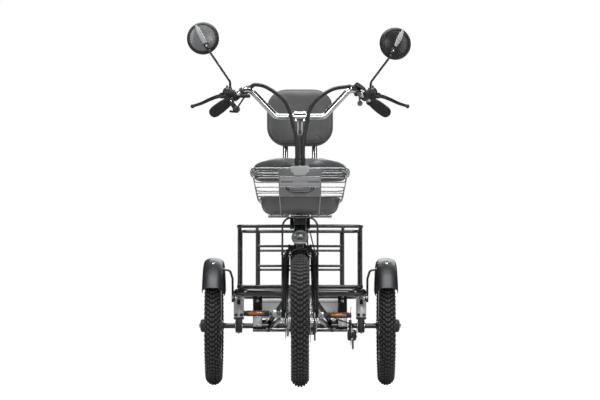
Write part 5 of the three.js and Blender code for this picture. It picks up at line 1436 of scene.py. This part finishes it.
REAR_CABLE = [(30, 240, 640), (31, 290, 560), (31, 350, 445), (32, 420, 385), (32, 520, 372),
              (40, 620, 352), (70, 760, 338), (112, 930, 318), (160, 1010, 292), (212, 1036, 275),
              (236, 1050, 264), (238, 1056, 253.5)]
line = along(flowing([at(*point) for point in REAR_CABLE], 8), 6)
declared_cord("rear_cable", line, 3, "main_frame", (1.0,), [len(line) * k // 5 for k in range(5)], Shape())


# ---------------------------------------------------------------- front basket

BASKET_MIDDLE = 75
TOP_HALF = (191, 122)
LOW_HALF = (170, 108)
BASKET_TOP = 865
BASKET_LOW = 762

wires = Shape()


def basket_half(z):
    share = (z - BASKET_LOW) / (BASKET_TOP - BASKET_LOW)
    return [low + (high - low) * share for low, high in zip(LOW_HALF, TOP_HALF)]


def basket_loop(z, radius, bend=40):
    half_width, half_depth = basket_half(z)
    wires.tube(level_loop(half_width, BASKET_MIDDLE - half_depth, BASKET_MIDDLE + half_depth, z, bend, 8),
               radius, WIRE_GREY, 12, loop=True)


for z, radius in ((867, 3.4), (857, 2.4), (829, 2.4), (793, 2.4), (770, 2.4), (757, 3.0)):
    basket_loop(z, radius)


def side_wire(x, front_foot, back_foot):
    """A wire down one wall, under the tub and up the other wall."""
    top_depth = basket_half(BASKET_TOP)[1]
    low_depth = basket_half(755)[1]
    return bent([at(x, BASKET_MIDDLE - top_depth - 3, 869),
                 at(x * 0.97, BASKET_MIDDLE - low_depth - 1, 748), at(x * 0.9, front_foot, 685),
                 at(x * 0.9, back_foot, 685), at(x * 0.97, BASKET_MIDDLE + low_depth + 1, 748),
                 at(x, BASKET_MIDDLE + top_depth + 3, 869)], 22, 6)


for x in (-83, 83):
    wires.tube(side_wire(x, BASKET_MIDDLE - 80, BASKET_MIDDLE + 80), 2.8, WIRE_GREY, 12)
for sign in (1, -1):
    for behind in (10, 42, 75, 108, 140):
        top = basket_half(BASKET_TOP)[0] + 2.5
        low = basket_half(757)[0] + 1
        wires.tube(bent([at(sign * top, behind, 870), at(sign * low, behind, 752),
                         at(sign * (low - 16), behind, 738)], 12, 4), 2.1, WIRE_GREY, 10)
    for behind in (20, 130):
        hook = flowing([at(sign * 190, behind, 868), at(sign * 197, behind, 862),
                        at(sign * 196, behind, 850), at(sign * DROP_PLATE_X, behind, 846)], 5)
        wires.tube(hook, 2.6, WIRE_GREY, 10)
for y_shift in (-60, 0, 60):
    wires.rod(at(-128, BASKET_MIDDLE + y_shift, 684), at(128, BASKET_MIDDLE + y_shift, 684), 2.1, WIRE_GREY,
              10)
piece("front_basket_wires", wires, "steering", ["front_basket"])

tub = Shape()


def tub_ring(reach, z, count=96):
    """A level ring of the tub, between a circle and a rounded rectangle."""
    points = []
    for i in range(count):
        a = TURN * i / count
        c, s = math.cos(a), math.sin(a)
        swell = (abs(c) ** 4 + abs(s) ** 4) ** -0.25
        points.append(at(c * swell * 158 * reach, BASKET_MIDDLE + s * swell * 102 * reach, z))
    return points


tub_profile = [(1.0, 757), (1.015, 756), (1.015, 752), (0.998, 750), (0.992, 740), (0.98, 728),
               (0.958, 716), (0.92, 705.5), (0.85, 697), (0.75, 692), (0.5, 690.3), (0.02, 690),
               (0.02, 692.6), (0.5, 693), (0.74, 694.8), (0.835, 699.6), (0.90, 708), (0.94, 718),
               (0.962, 730), (0.974, 743), (0.98, 757)]
tub.skin([tub_ring(reach, z) for reach, z in tub_profile], TRAY_GREY, loop=True)
for x in (-100, -50, 0, 50, 100):
    tub.block((5, 176, 2.4), at(x, BASKET_MIDDLE, 693.2), TRAY_GREY, 1)
piece("basket_tub", tub, "steering", ["basket_tray"])

PLATE_LEAN = math.atan2(TOP_HALF[1] - LOW_HALF[1], BASKET_TOP - BASKET_LOW)
plate_place = (Matrix.Translation(at(0, BASKET_MIDDLE - 123.5, 811))
               @ Matrix.Rotation(PLATE_LEAN + math.pi / 2, 4, "X"))
front = Shape()


def on_plate(x, up, proud=0.0):
    """A place on the front plate: across, up from its middle, and proud of its face."""
    return plate_place @ Matrix.Translation(mm(x, up, proud))


front.plate(rounded_rectangle(83, 56, 8, 5), 3.4, on_plate(0, 0), PLATE_GREY, bevel=0.9)
band_slots = [[(x + sx, y - 1) for x, y in rounded_rectangle(23, 4, 2.5)] for sx in (-53, 53)]
front.plate(rounded_rectangle(81, 18, 4), 2.4, on_plate(0, 3, 2.8), BAND_GREY, band_slots, bevel=0.6)
front.plate(rounded_rectangle(78, 11, 3), 1.6, on_plate(0, 36, 2.2), PLATE_GREY, bevel=0.5)
front.plate(rounded_rectangle(78, 15, 4), 1.6, on_plate(0, -35, 2.2), PLATE_GREY, bevel=0.5)
for up in (-17.5, 23.5):
    front.rod(on_plate(-80, up, 3.2).translation, on_plate(80, up, 3.2).translation, 1.6, WIRE_GREY, 10)
clasp = [(34, 26), (37, 20), (36, 4), (26, -3), (21, -11), (-21, -11), (-26, -3), (-36, 4), (-37, 20),
         (-34, 26)]
front.plate(clasp, 6, on_plate(0, 39, 5), TRIM_GREY, bevel=2)
for x in (-30, 30):
    spot = on_plate(x, -53, 2.2)
    front.ball(spot.translation, 3.4, CHROME, 12)
handle = [on_plate(x, up, proud).translation for x, up, proud in
          ((-48, -22, 2), (-48, -24, 9), (-45, -31, 12), (-30, -36, 13.5), (0, -37.5, 14), (30, -36, 13.5),
           (45, -31, 12), (48, -24, 9), (48, -22, 2))]
front.tube(flowing(handle, 5), 4.2, GLOSS_BLACK, 16)
for x in (-50, 50):
    front.ball(on_plate(x, -24, 3).translation, 6.5, PLASTIC_BLACK, 16, squeeze=0.6, axis=Y)
piece("basket_front_plate", front, "steering", ["basket_plate"])

stay = Shape()
stay.tube(bent([at(-70, 2, 272), at(-70, 6, 675), at(70, 6, 675), at(70, 2, 272)], 45, 10), 4, GLOSS_BLACK,
          16)
for sign in (1, -1):
    eye = at(sign * 70, 1, WHEEL_RADIUS)
    stay.lathe([(5.4, -3), (10.5, -3), (11, -2.2), (11, 2.2), (10.5, 3), (5.4, 3)], eye, eye + X, ZINC, 24,
               loop=True)
for x in (-40, 40):
    stay.block((18, 12, 9), at(x, 6, 681), SATIN_BLACK, 2)
    stay.bolt(at(x, 0, 681), -Y, 3.4, ZINC)
# The basket carrier: a flat bracket from the stem foot to the tub.
stay.block((40, 150, 5), at(0, 88, 679), SATIN_BLACK, 1.6)
stay.block((46, 6, 26), at(0, 158, 668), SATIN_BLACK, 2)
piece("basket_stay_rod", stay, "steering", ["basket_stay"])


# ---------------------------------------------------------------- headlamp, front fender, front brake

LAMP = at(0, 78, 600)
LAMP_FORWARD = (at(0, 0, 598) - LAMP).normalized()
lamp = Shape()


def lamp_ring(radius, distance, count=48, squash=0.95, drop=0.0):
    """A ring of the egg-shaped lamp: wider than high."""
    side = X
    up = LAMP_FORWARD.cross(side).normalized()
    up = up if up.z > 0 else -up
    centre = LAMP + LAMP_FORWARD * (distance * MM) + up * (drop * MM)
    ring = []
    for i in range(count):
        c, s = math.cos(TURN * i / count), math.sin(TURN * i / count)
        tall = squash if s < 0 else squash * 0.92
        ring.append(centre + (side * c * radius + up * s * radius * tall) * MM)
    return ring


shell = [(3, -22), (14, -21.5), (23, -17), (29, -10), (32.5, -1), (34, 8), (34.4, 15), (33.6, 19),
         (31.5, 20.5), (31.5, 12)]
lamp.skin([lamp_ring(r, d) for r, d in shell], PLASTIC_BLACK, caps=(True, False))
GLASS_SQUASH = 0.62
GLASS_RISE = 5


def glass_ring(radius, distance):
    """A ring of the oval window in the upper part of the lamp's face."""
    return lamp_ring(radius, distance, squash=GLASS_SQUASH, drop=GLASS_RISE)


lamp.skin([lamp_ring(31.6, 16), lamp_ring(31, 20), glass_ring(27.5, 21.5), glass_ring(25.5, 20.5),
           glass_ring(25.5, 14)], PLATE_GREY, caps=(False, False))
lamp.skin([glass_ring(r, d) for r, d in ((25.6, 15), (23, 9), (17, 4), (9, 1), (2, 0.5))], LAMP_BOWL,
          caps=(False, True))
for x in (-8, 0, 8):
    spot = LAMP + LAMP_FORWARD * (4 * MM) + X * (x * MM) + Z * (GLASS_RISE * MM)
    lamp.lathe([(5, 0), (5, 3), (3.2, 6), (0, 7)], spot, spot + LAMP_FORWARD, LED, 20)
LENS_PROFILE = ((25.2, 17), (25.3, 20), (22, 23.5), (15, 26.2), (8, 27.4), (2, 27.8), (2, 25.8), (8, 25.4),
                (14.6, 24.2), (21, 21.6), (23.6, 19.4), (23.6, 17))
lamp.skin([glass_ring(r, d) for r, d in LENS_PROFILE], LENS, loop=True)
lamp.block((46, 8, 5), LAMP + LAMP_FORWARD * (17 * MM) - Z * (23 * MM), SILVER_PAINT, 2.2)
lamp.sweep(bent([at(0, 98, 592), at(0, 101, 572), at(0, 116, 562), at(0, 130, 562)], 8, 5),
           rounded_rectangle(2.2, 15, 2), STEEL, up=X)
lamp.bolt(at(0, 92, 579), -Y, 5.5, ZINC, 5)
piece("headlamp_with_reflector", lamp, "steering", ["headlamp"])

front_fender = Shape()
outer = [(39.5, 262), (39, 268), (35.5, 275), (28, 281), (18, 285), (8, 286.8), (0, 287)]
outer = outer + [(-x, r) for x, r in reversed(outer[:-1])]
section = outer + [(x * 0.95, r - 2.5) for x, r in reversed(outer)]
rings = []
for i in range(37):
    a = math.radians(93) + math.radians(103) * i / 36
    end = min(1.0, i / 36 / 0.08, (1 - i / 36) / 0.08)
    squeeze = 0.86 + 0.14 * math.sin(end * math.pi / 2)
    rings.append([FRONT_AXLE + mm(x * squeeze, -r * math.cos(a), r * math.sin(a)) for x, r in section])
front_fender.skin(rings, GLOSS_BLACK)
for a_deg in (104, 172):
    a = math.radians(a_deg)
    for sign in (1, -1):
        lug = FRONT_AXLE + mm(sign * 39.5, -266 * math.cos(a), 266 * math.sin(a))
        stay_end = at(sign * 62, 4, WHEEL_RADIUS + 10)
        bow = flowing([stay_end, stay_end.lerp(lug, 0.5) + X * (sign * 4 * MM), lug + X * (sign * 3 * MM)],
                      8)
        if a_deg == 172:
            front_fender.tube(bow, 2.4, CHROME, 12)
        front_fender.block((5, 12, 10), lug + X * (sign * 1.5 * MM), CHROME, 2)
        front_fender.bolt(lug + X * (sign * 4 * MM), X * sign, 3.2, ZINC)
piece("front_fender_shell", front_fender, "steering", ["front_fender"])

front_caliper = Shape()
front_caliper_at = at(47, 78, 230)
caliper(front_caliper, front_caliper_at, FRONT_ROTOR_X, (33, 42, 46), 47)
front_caliper.rod(front_caliper_at + mm(12, -12, -16), front_caliper_at + mm(12, -12, -44), 3.4,
                  PLASTIC_BLACK, 14, 1)
hose = flowing([front_caliper_at + mm(14, -4, 22), at(66, 92, 300), at(70, 92, 380), at(70, 96, 460),
                at(66, 104, 520), at(52, 120, 575), at(40, 150, 628)], 8)
front_caliper.tube(hose, 2.6, CABLE_BLACK, 12)
for i in (14, 30):
    front_caliper.lathe([(2.6, -3), (4.2, -2.4), (4.2, 2.4), (2.6, 3)], hose[i], hose[i + 1], ZINC, 14)
piece("front_caliper", front_caliper, "steering", ["front_brake_caliper"])


# ---------------------------------------------------------------- seat

POST_START = 235
POST_END = 535
SPRING_X = 58
SPRING_BEHIND = 862

post = Shape()
post.lathe([(12, 0), (15, 1.5), (15, 298), (13, 300)], on_seat_axis(POST_START), on_seat_axis(POST_END),
           CHROME, 36)
for distance in range(150, 240, 15):
    post.lathe([(15, distance), (15.12, distance + 0.3), (15.12, distance + 1), (15, distance + 1.3)],
               on_seat_axis(POST_START), on_seat_axis(POST_END), SATIN_BLACK, 36)
piece("chrome_seat_post", post, "seat", ["seat_post"])

post_top = on_seat_axis(POST_END)
pan = Shape()
pan.block((150, 190, 8), at(0, 800, 874), SATIN_BLACK, 3)
pan.block((60, 60, 15), at(0, 772, 866), SATIN_BLACK, 3)
pan.block((46, 58, 50), post_top + mm(0, 4, 18), SATIN_BLACK, 5)
pan.lathe([(15.4, -26), (20, -26), (21, -24), (21, 0), (15.4, 0)], post_top, post_top + SEAT_UP, CHROME, 32,
          loop=True)
for sign in (1, -1):
    pan.bolt(post_top + mm(sign * 23, 4, 12), X * sign, 6, ZINC)
    rail = bent([at(sign * 22, 700, 868), at(sign * 34, 760, 862), at(sign * 36, 850, 862),
                 at(sign * 60, 900, 868)], 30, 5)
    pan.tube(rail, 4, STEEL, 14)
    # Coil springs under the back of the saddle.
    coil = [at(sign * SPRING_X + 13 * math.cos(TURN * t * 4.5),
               SPRING_BEHIND + 13 * math.sin(TURN * t * 4.5), 842 + 30 * t)
            for t in (i / 90 for i in range(91))]
    pan.tube(coil, 2.6, STEEL, 10)
    pan.lathe([(4, -2), (16, -2), (17, 0), (4, 0)], at(sign * SPRING_X, SPRING_BEHIND, 841),
              at(sign * SPRING_X, SPRING_BEHIND, 842), SATIN_BLACK, 24, loop=True)
    pan.block((96, 14, 4), at(sign * 28, 862, 838), SATIN_BLACK, 1.4)
piece("saddle_base_and_springs", pan, "seat", ["saddle_pan"])

BACKREST_POST_X = 64
posts = Shape()
for sign in (1, -1):
    posts.tube(bent([at(sign * BACKREST_POST_X, 706, 856), at(sign * BACKREST_POST_X, 960, 856),
                     at(sign * BACKREST_POST_X, 1006, 1225)], 50, 10), 11.5, CHROME, 28)
    posts.bolt(at(sign * (BACKREST_POST_X + 11), 770, 856), X * sign, 5, ZINC)
    posts.bolt(at(sign * BACKREST_POST_X, 1011, 1160), Y, 6, ZINC)
for behind, z in ((715, 856), (1001, 1190)):
    posts.rod(at(-BACKREST_POST_X, behind, z), at(BACKREST_POST_X, behind, z), 9, CHROME, 20)
piece("backrest_posts", posts, "seat", ["backrest_frame"])


def made_by(obj, kind, **settings):
    """Applies one modifier to an object's mesh."""
    modifier = obj.modifiers.new(kind.lower(), kind)
    for name, value in settings.items():
        setattr(modifier, name, value)
    evaluated = obj.evaluated_get(bpy.context.evaluated_depsgraph_get())
    mesh = bpy.data.meshes.new_from_object(evaluated)
    obj.modifiers.clear()
    old = obj.data
    obj.data = mesh
    bpy.data.meshes.remove(old)


CLOTH_STEPS = 20


def puff(obj, pressure, cap):
    """Lets a closed pad swell as cloth under inner pressure. No point moves further than the cap."""
    start = [vert.co.copy() for vert in obj.data.vertices]
    cloth = obj.modifiers.new("cloth", "CLOTH")
    cloth.settings.quality = 4
    cloth.settings.mass = 0.3
    cloth.settings.use_pressure = True
    cloth.settings.uniform_pressure_force = pressure
    cloth.settings.effector_weights.gravity = 0.0
    cloth.point_cache.frame_start = 1
    cloth.point_cache.frame_end = CLOTH_STEPS
    for step in range(1, CLOTH_STEPS + 1):
        bpy.context.scene.frame_set(step)
    evaluated = obj.evaluated_get(bpy.context.evaluated_depsgraph_get())
    swollen = [vert.co.copy() for vert in evaluated.data.vertices]
    obj.modifiers.clear()
    bpy.context.scene.frame_set(1)
    for vert, old, new in zip(obj.data.vertices, start, swollen):
        move = new - old
        if move.length > cap:
            move = move.normalized() * cap
        vert.co = old + move


def pad(shape, name, pressure, cap):
    """Turns a shape into a soft leather pad: even mesh, swollen cloth, one subdivision."""
    obj = placed(name, mesh_from(shape, name))
    made_by(obj, "REMESH", mode="VOXEL", voxel_size=0.005)
    puff(obj, pressure, cap)
    made_by(obj, "SUBSURF", levels=1, render_levels=1)
    obj.data.materials.clear()
    obj.data.materials.append(LEATHER)
    obj.data.shade_smooth()
    return obj


def crease(obj, line, width, depth):
    """Presses a sewn line into a pad."""
    tree = kdtree.KDTree(len(line))
    for i, point in enumerate(line):
        tree.insert(point, i)
    tree.balance()
    moves = []
    for vert in obj.data.vertices:
        distance = tree.find(vert.co)[2] / MM
        press = depth * MM * math.exp(-(distance / width) ** 2)
        moves.append(vert.normal * -press if distance < 3 * width else None)
    for vert, move in zip(obj.data.vertices, moves):
        if move:
            vert.co += move


def on_surface(obj, points, proud=0.0):
    """The nearest points of a pad's surface, raised by a height, with their normals."""
    tree = bvhtree.BVHTree.FromObject(obj, bpy.context.evaluated_depsgraph_get())
    found = [tree.find_nearest(point) for point in points]
    return [(place + normal * (proud * MM), normal) for place, normal, _, _ in found]


def stitches(shape, obj, line):
    """A row of short raised stitches along a line on a pad."""
    spots = on_surface(obj, along(line, 1.5), 0.35)
    for i in range(0, len(spots) - 4, 5):
        (a, normal), (b, _) = spots[i], spots[i + 3]
        shape.tube([a - normal * (0.5 * MM), a.lerp(b, 0.25) + normal * (0.3 * MM),
                    a.lerp(b, 0.75) + normal * (0.3 * MM), b - normal * (0.5 * MM)], 0.75, THREAD, 6)


def piping(shape, obj, line, radius, proud):
    """A sewn-in cord round the edge of a pad."""
    spots = on_surface(obj, along(line, 5), proud)
    shape.tube([place for place, _ in spots][:-1], radius, PIPING, 12, loop=True)


SADDLE_BEHIND = 790
SADDLE_CENTRE = 40


def bezier(a, b, c, d, steps):
    return [a * (1 - t) ** 3 + b * 3 * t * (1 - t) ** 2 + c * 3 * t * t * (1 - t) + d * t ** 3
            for t in (i / steps for i in range(steps))]


def saddle_outline():
    """The saddle from above: a short nose and two broad lobes, as (across, behind) from its middle."""
    half = [(0, -160), (62, -160), (74, -90), (112, -42), (160, 14), (203, 26), (203, 85), (203, 152),
            (60, 162), (0, 140)]
    points = [Vector(p) for p in half]
    outline = []
    for i in (0, 3, 6):
        outline += bezier(*points[i:i + 4], 16)
    mirrored = [Vector((-p.x, p.y)) for p in reversed(outline[1:])]
    return outline + [points[-1]] + mirrored


def saddle_top(x, y):
    """How far the top stands above or below its mean height, from the distance across and behind."""
    lobes = 11 * math.exp(-(((abs(x) - 92) / 62) ** 2) - ((y - 62) / 78) ** 2)
    channel = -11 * math.exp(-(x / 17) ** 2) / (1 + math.exp(-(y + 70) / 16))
    nose = -16 / (1 + math.exp((y + 80) / 26))
    tail = 7 * math.exp(-((y - 120) / 34) ** 2) * (1 - math.exp(-(x / 40) ** 2))
    return lobes + channel + nose + tail


saddle_levels = [(0.02, 886), (0.60, 886), (0.86, 887), (0.94, 891), (0.975, 899), (0.985, 909),
                 (0.995, 922), (1.0, 936), (0.985, 949), (0.95, 959), (0.88, 966.5), (0.76, 971),
                 (0.60, 973), (0.42, 974), (0.2, 974), (0.02, 974)]
saddle_shape = Shape()
outline = saddle_outline()
rings = []
for reach, z in saddle_levels:
    ring = []
    for p in outline:
        x = p.x * reach
        y = SADDLE_CENTRE + (p.y - SADDLE_CENTRE) * reach
        share = max(0.0, (z - 906) / 68)
        ring.append(at(x, SADDLE_BEHIND + y, z + saddle_top(x, y) * share))
    rings.append(ring)
saddle_shape.skin(rings, LEATHER)
saddle = pad(saddle_shape, "padded_saddle", 0.8, 0.008)


def saddle_line(reach, z):
    """A closed line round the saddle, at a reach of its outline and a height."""
    line = [at(p.x * reach, SADDLE_BEHIND + SADDLE_CENTRE + (p.y - SADDLE_CENTRE) * reach, z)
            for p in outline]
    return line + line[:1]


edge_line = along(saddle_line(1.02, 912), 4)
lobe_lines = []
for sign in (1, -1):
    lobe = [Vector((sign * 30, -52)), Vector((sign * 62, -20)), Vector((sign * 112, 20)),
            Vector((sign * 148, 62)), Vector((sign * 140, 104)), Vector((sign * 92, 122)),
            Vector((sign * 44, 108)), Vector((sign * 27, 60)), Vector((sign * 24, 0)),
            Vector((sign * 30, -52))]
    path = flowing([at(p.x, SADDLE_BEHIND + p.y, 1000) for p in lobe], 8)
    lobe_lines.append([place for place, _ in on_surface(saddle, path)])
edge_spots = [place for place, _ in on_surface(saddle, edge_line)]
crease(saddle, edge_spots, 3.2, 2.2)
for line in lobe_lines:
    crease(saddle, along(line, 2), 2.6, 1.6)
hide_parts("saddle")
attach(saddle, "seat")
saddle_trim = Shape()
piping(saddle_trim, saddle, saddle_line(1.02, 912), 1.8, 0.6)
for line in lobe_lines:
    stitches(saddle_trim, saddle, line)
piece("saddle_piping_and_stitches", saddle_trim, "seat")

BACKREST_LEAN = math.radians(8)
BACKREST_MIDDLE = at(0, 955, 1173.5)
BACK_TURN = Matrix.Translation(BACKREST_MIDDLE) @ Matrix.Rotation(math.pi / 2 - BACKREST_LEAN, 4, "X")


def on_back(x, up, forward):
    """A point of the backrest: across, up its face, and forward towards the rider."""
    return BACK_TURN @ mm(x, up, forward)


back_outline = rounded_rectangle(145, 128, 84, 14)
back_levels = [(0.02, -22), (0.6, -22), (0.90, -21), (0.97, -17), (0.995, -8), (1.0, 0), (0.99, 8),
               (0.955, 15), (0.89, 20), (0.78, 23), (0.6, 25), (0.35, 26), (0.02, 26)]
back_shape = Shape()
back_shape.skin([[on_back(x * reach, y * reach, level) for x, y in back_outline]
                 for reach, level in back_levels], LEATHER)
back = pad(back_shape, "padded_backrest", 0.4, 0.005)


def back_line(reach, level):
    line = [on_back(x * reach, y * reach, level) for x, y in back_outline]
    return line + line[:1]


seam = [place for place, _ in on_surface(back, along(back_line(0.985, 11), 3))]
crease(back, seam, 2.6, 1.6)
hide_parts("backrest")
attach(back, "seat")
back_trim = Shape()
piping(back_trim, back, back_line(0.985, 11), 2.0, 0.4)
stitches(back_trim, back, back_line(0.93, 22))
shell = [(x * 0.9, y * 0.9) for x, y in back_outline]
back_trim.plate(shell, 5, BACK_TURN @ Matrix.Translation((0, 0, -26 * MM)), PLASTIC_BLACK, bevel=1.6)
for x in (-70, 70):
    for up in (-66, 66):
        spot = on_back(x, up, -28.5)
        back_trim.lathe([(5, 0), (5, 1.2), (3.4, 2.2), (0, 2.4)], spot, on_back(x, up, -40), ZINC, 16)
piece("backrest_piping_and_shell", back_trim, "seat")


# ---------------------------------------------------------------- stage and lights

scene = bpy.context.scene
floor_mesh = bpy.data.meshes.new("studio_floor")
floor_mesh.from_pydata([(-40, -30, 0), (40, -30, 0), (40, 60, 0), (-40, 60, 0)], [], [(0, 1, 2, 3)])
floor = placed("studio_floor", floor_mesh)
floor_paint = surface("pale_floor", (0.50, 0.50, 0.50), 0.8, vary=0.01, grain=0.02, rough_vary=0.02)
floor_nodes = floor_paint.node_tree.nodes
floor_links = floor_paint.node_tree.links
floor_glow = floor_nodes.new("ShaderNodeEmission")
floor_glow.inputs["Color"].default_value = (1, 1, 1, 1)
floor_glow.inputs["Strength"].default_value = 0.97
seen = floor_nodes.new("ShaderNodeLightPath")
glow_when_seen = floor_nodes.new("ShaderNodeMixShader")
bare = floor_nodes.new("ShaderNodeEmission")
bare.inputs["Strength"].default_value = 0.0
lit = floor_nodes.new("ShaderNodeAddShader")
floor_links.new(seen.outputs["Is Camera Ray"], glow_when_seen.inputs["Fac"])
floor_links.new(bare.outputs["Emission"], glow_when_seen.inputs[1])
floor_links.new(floor_glow.outputs["Emission"], glow_when_seen.inputs[2])
floor_links.new(floor_nodes["Principled BSDF"].outputs["BSDF"], lit.inputs[0])
floor_links.new(glow_when_seen.outputs["Shader"], lit.inputs[1])
floor_links.new(lit.outputs["Shader"], floor_nodes["Material Output"].inputs["Surface"])
floor_mesh.materials.append(floor_paint)


def lamp_light(name, place, aimed_at, size, power):
    data = bpy.data.lights.new(name, "AREA")
    data.shape = "RECTANGLE"
    data.size = size[0]
    data.size_y = size[1]
    data.energy = power
    light = placed(name, data)
    light.location = place
    light.rotation_euler = (Vector(aimed_at) - Vector(place)).to_track_quat("-Z", "Y").to_euler()


lamp_light("left_softbox", (-3.4, -2.6, 2.2), (0, 0, 0.7), (0.9, 3.4), 55)
lamp_light("right_softbox", (3.6, -2.2, 2.0), (0, 0, 0.7), (0.8, 3.4), 55)
lamp_light("front_softbox", (0.5, -6.4, 2.3), (0, 0, 0.8), (1.9, 1.2), 85)
lamp_light("top_softbox", (0, -0.4, 4.2), (0, 0, 0.6), (3.4, 2.4), 200)
lamp_light("back_softbox", (0.6, 4.2, 2.6), (0, 0, 0.8), (3.0, 1.6), 70)

world = bpy.data.worlds.new("studio")
scene.world = world
world.use_nodes = True
world_nodes = world.node_tree.nodes
world_links = world.node_tree.links
room = world_nodes["Background"]
direction = world_nodes.new("ShaderNodeTexCoord")
split = world_nodes.new("ShaderNodeSeparateXYZ")
ROOM_BANDS = ((0.50, 0.62), (0.56, 0.16), (0.68, 0.06), (0.76, 0.75), (0.84, 0.30))
heights = ramp(world_nodes, ((0.42, (0.55, 0.55, 0.56)), (1.0, (0.20, 0.205, 0.21))),
               [(position, grey(tone)) for position, tone in ROOM_BANDS])
shift = world_nodes.new("ShaderNodeMapRange")
shift.inputs["From Min"].default_value = -1
world_links.new(direction.outputs["Generated"], split.inputs["Vector"])
world_links.new(split.outputs["Z"], shift.inputs["Value"])
world_links.new(shift.outputs["Result"], heights.inputs["Fac"])
world_links.new(heights.outputs["Color"], room.inputs["Color"])
room.inputs["Strength"].default_value = 0.17
plain = world_nodes.new("ShaderNodeBackground")
plain.inputs["Color"].default_value = (1, 1, 1, 1)
plain.inputs["Strength"].default_value = 1.0
ray = world_nodes.new("ShaderNodeLightPath")
choose = world_nodes.new("ShaderNodeMixShader")
world_links.new(ray.outputs["Is Camera Ray"], choose.inputs["Fac"])
world_links.new(room.outputs["Background"], choose.inputs[1])
world_links.new(plain.outputs["Background"], choose.inputs[2])
world_links.new(choose.outputs["Shader"], world_nodes["World Output"].inputs["Surface"])
scene.view_settings.view_transform = "Standard"
scene.view_settings.look = "None"
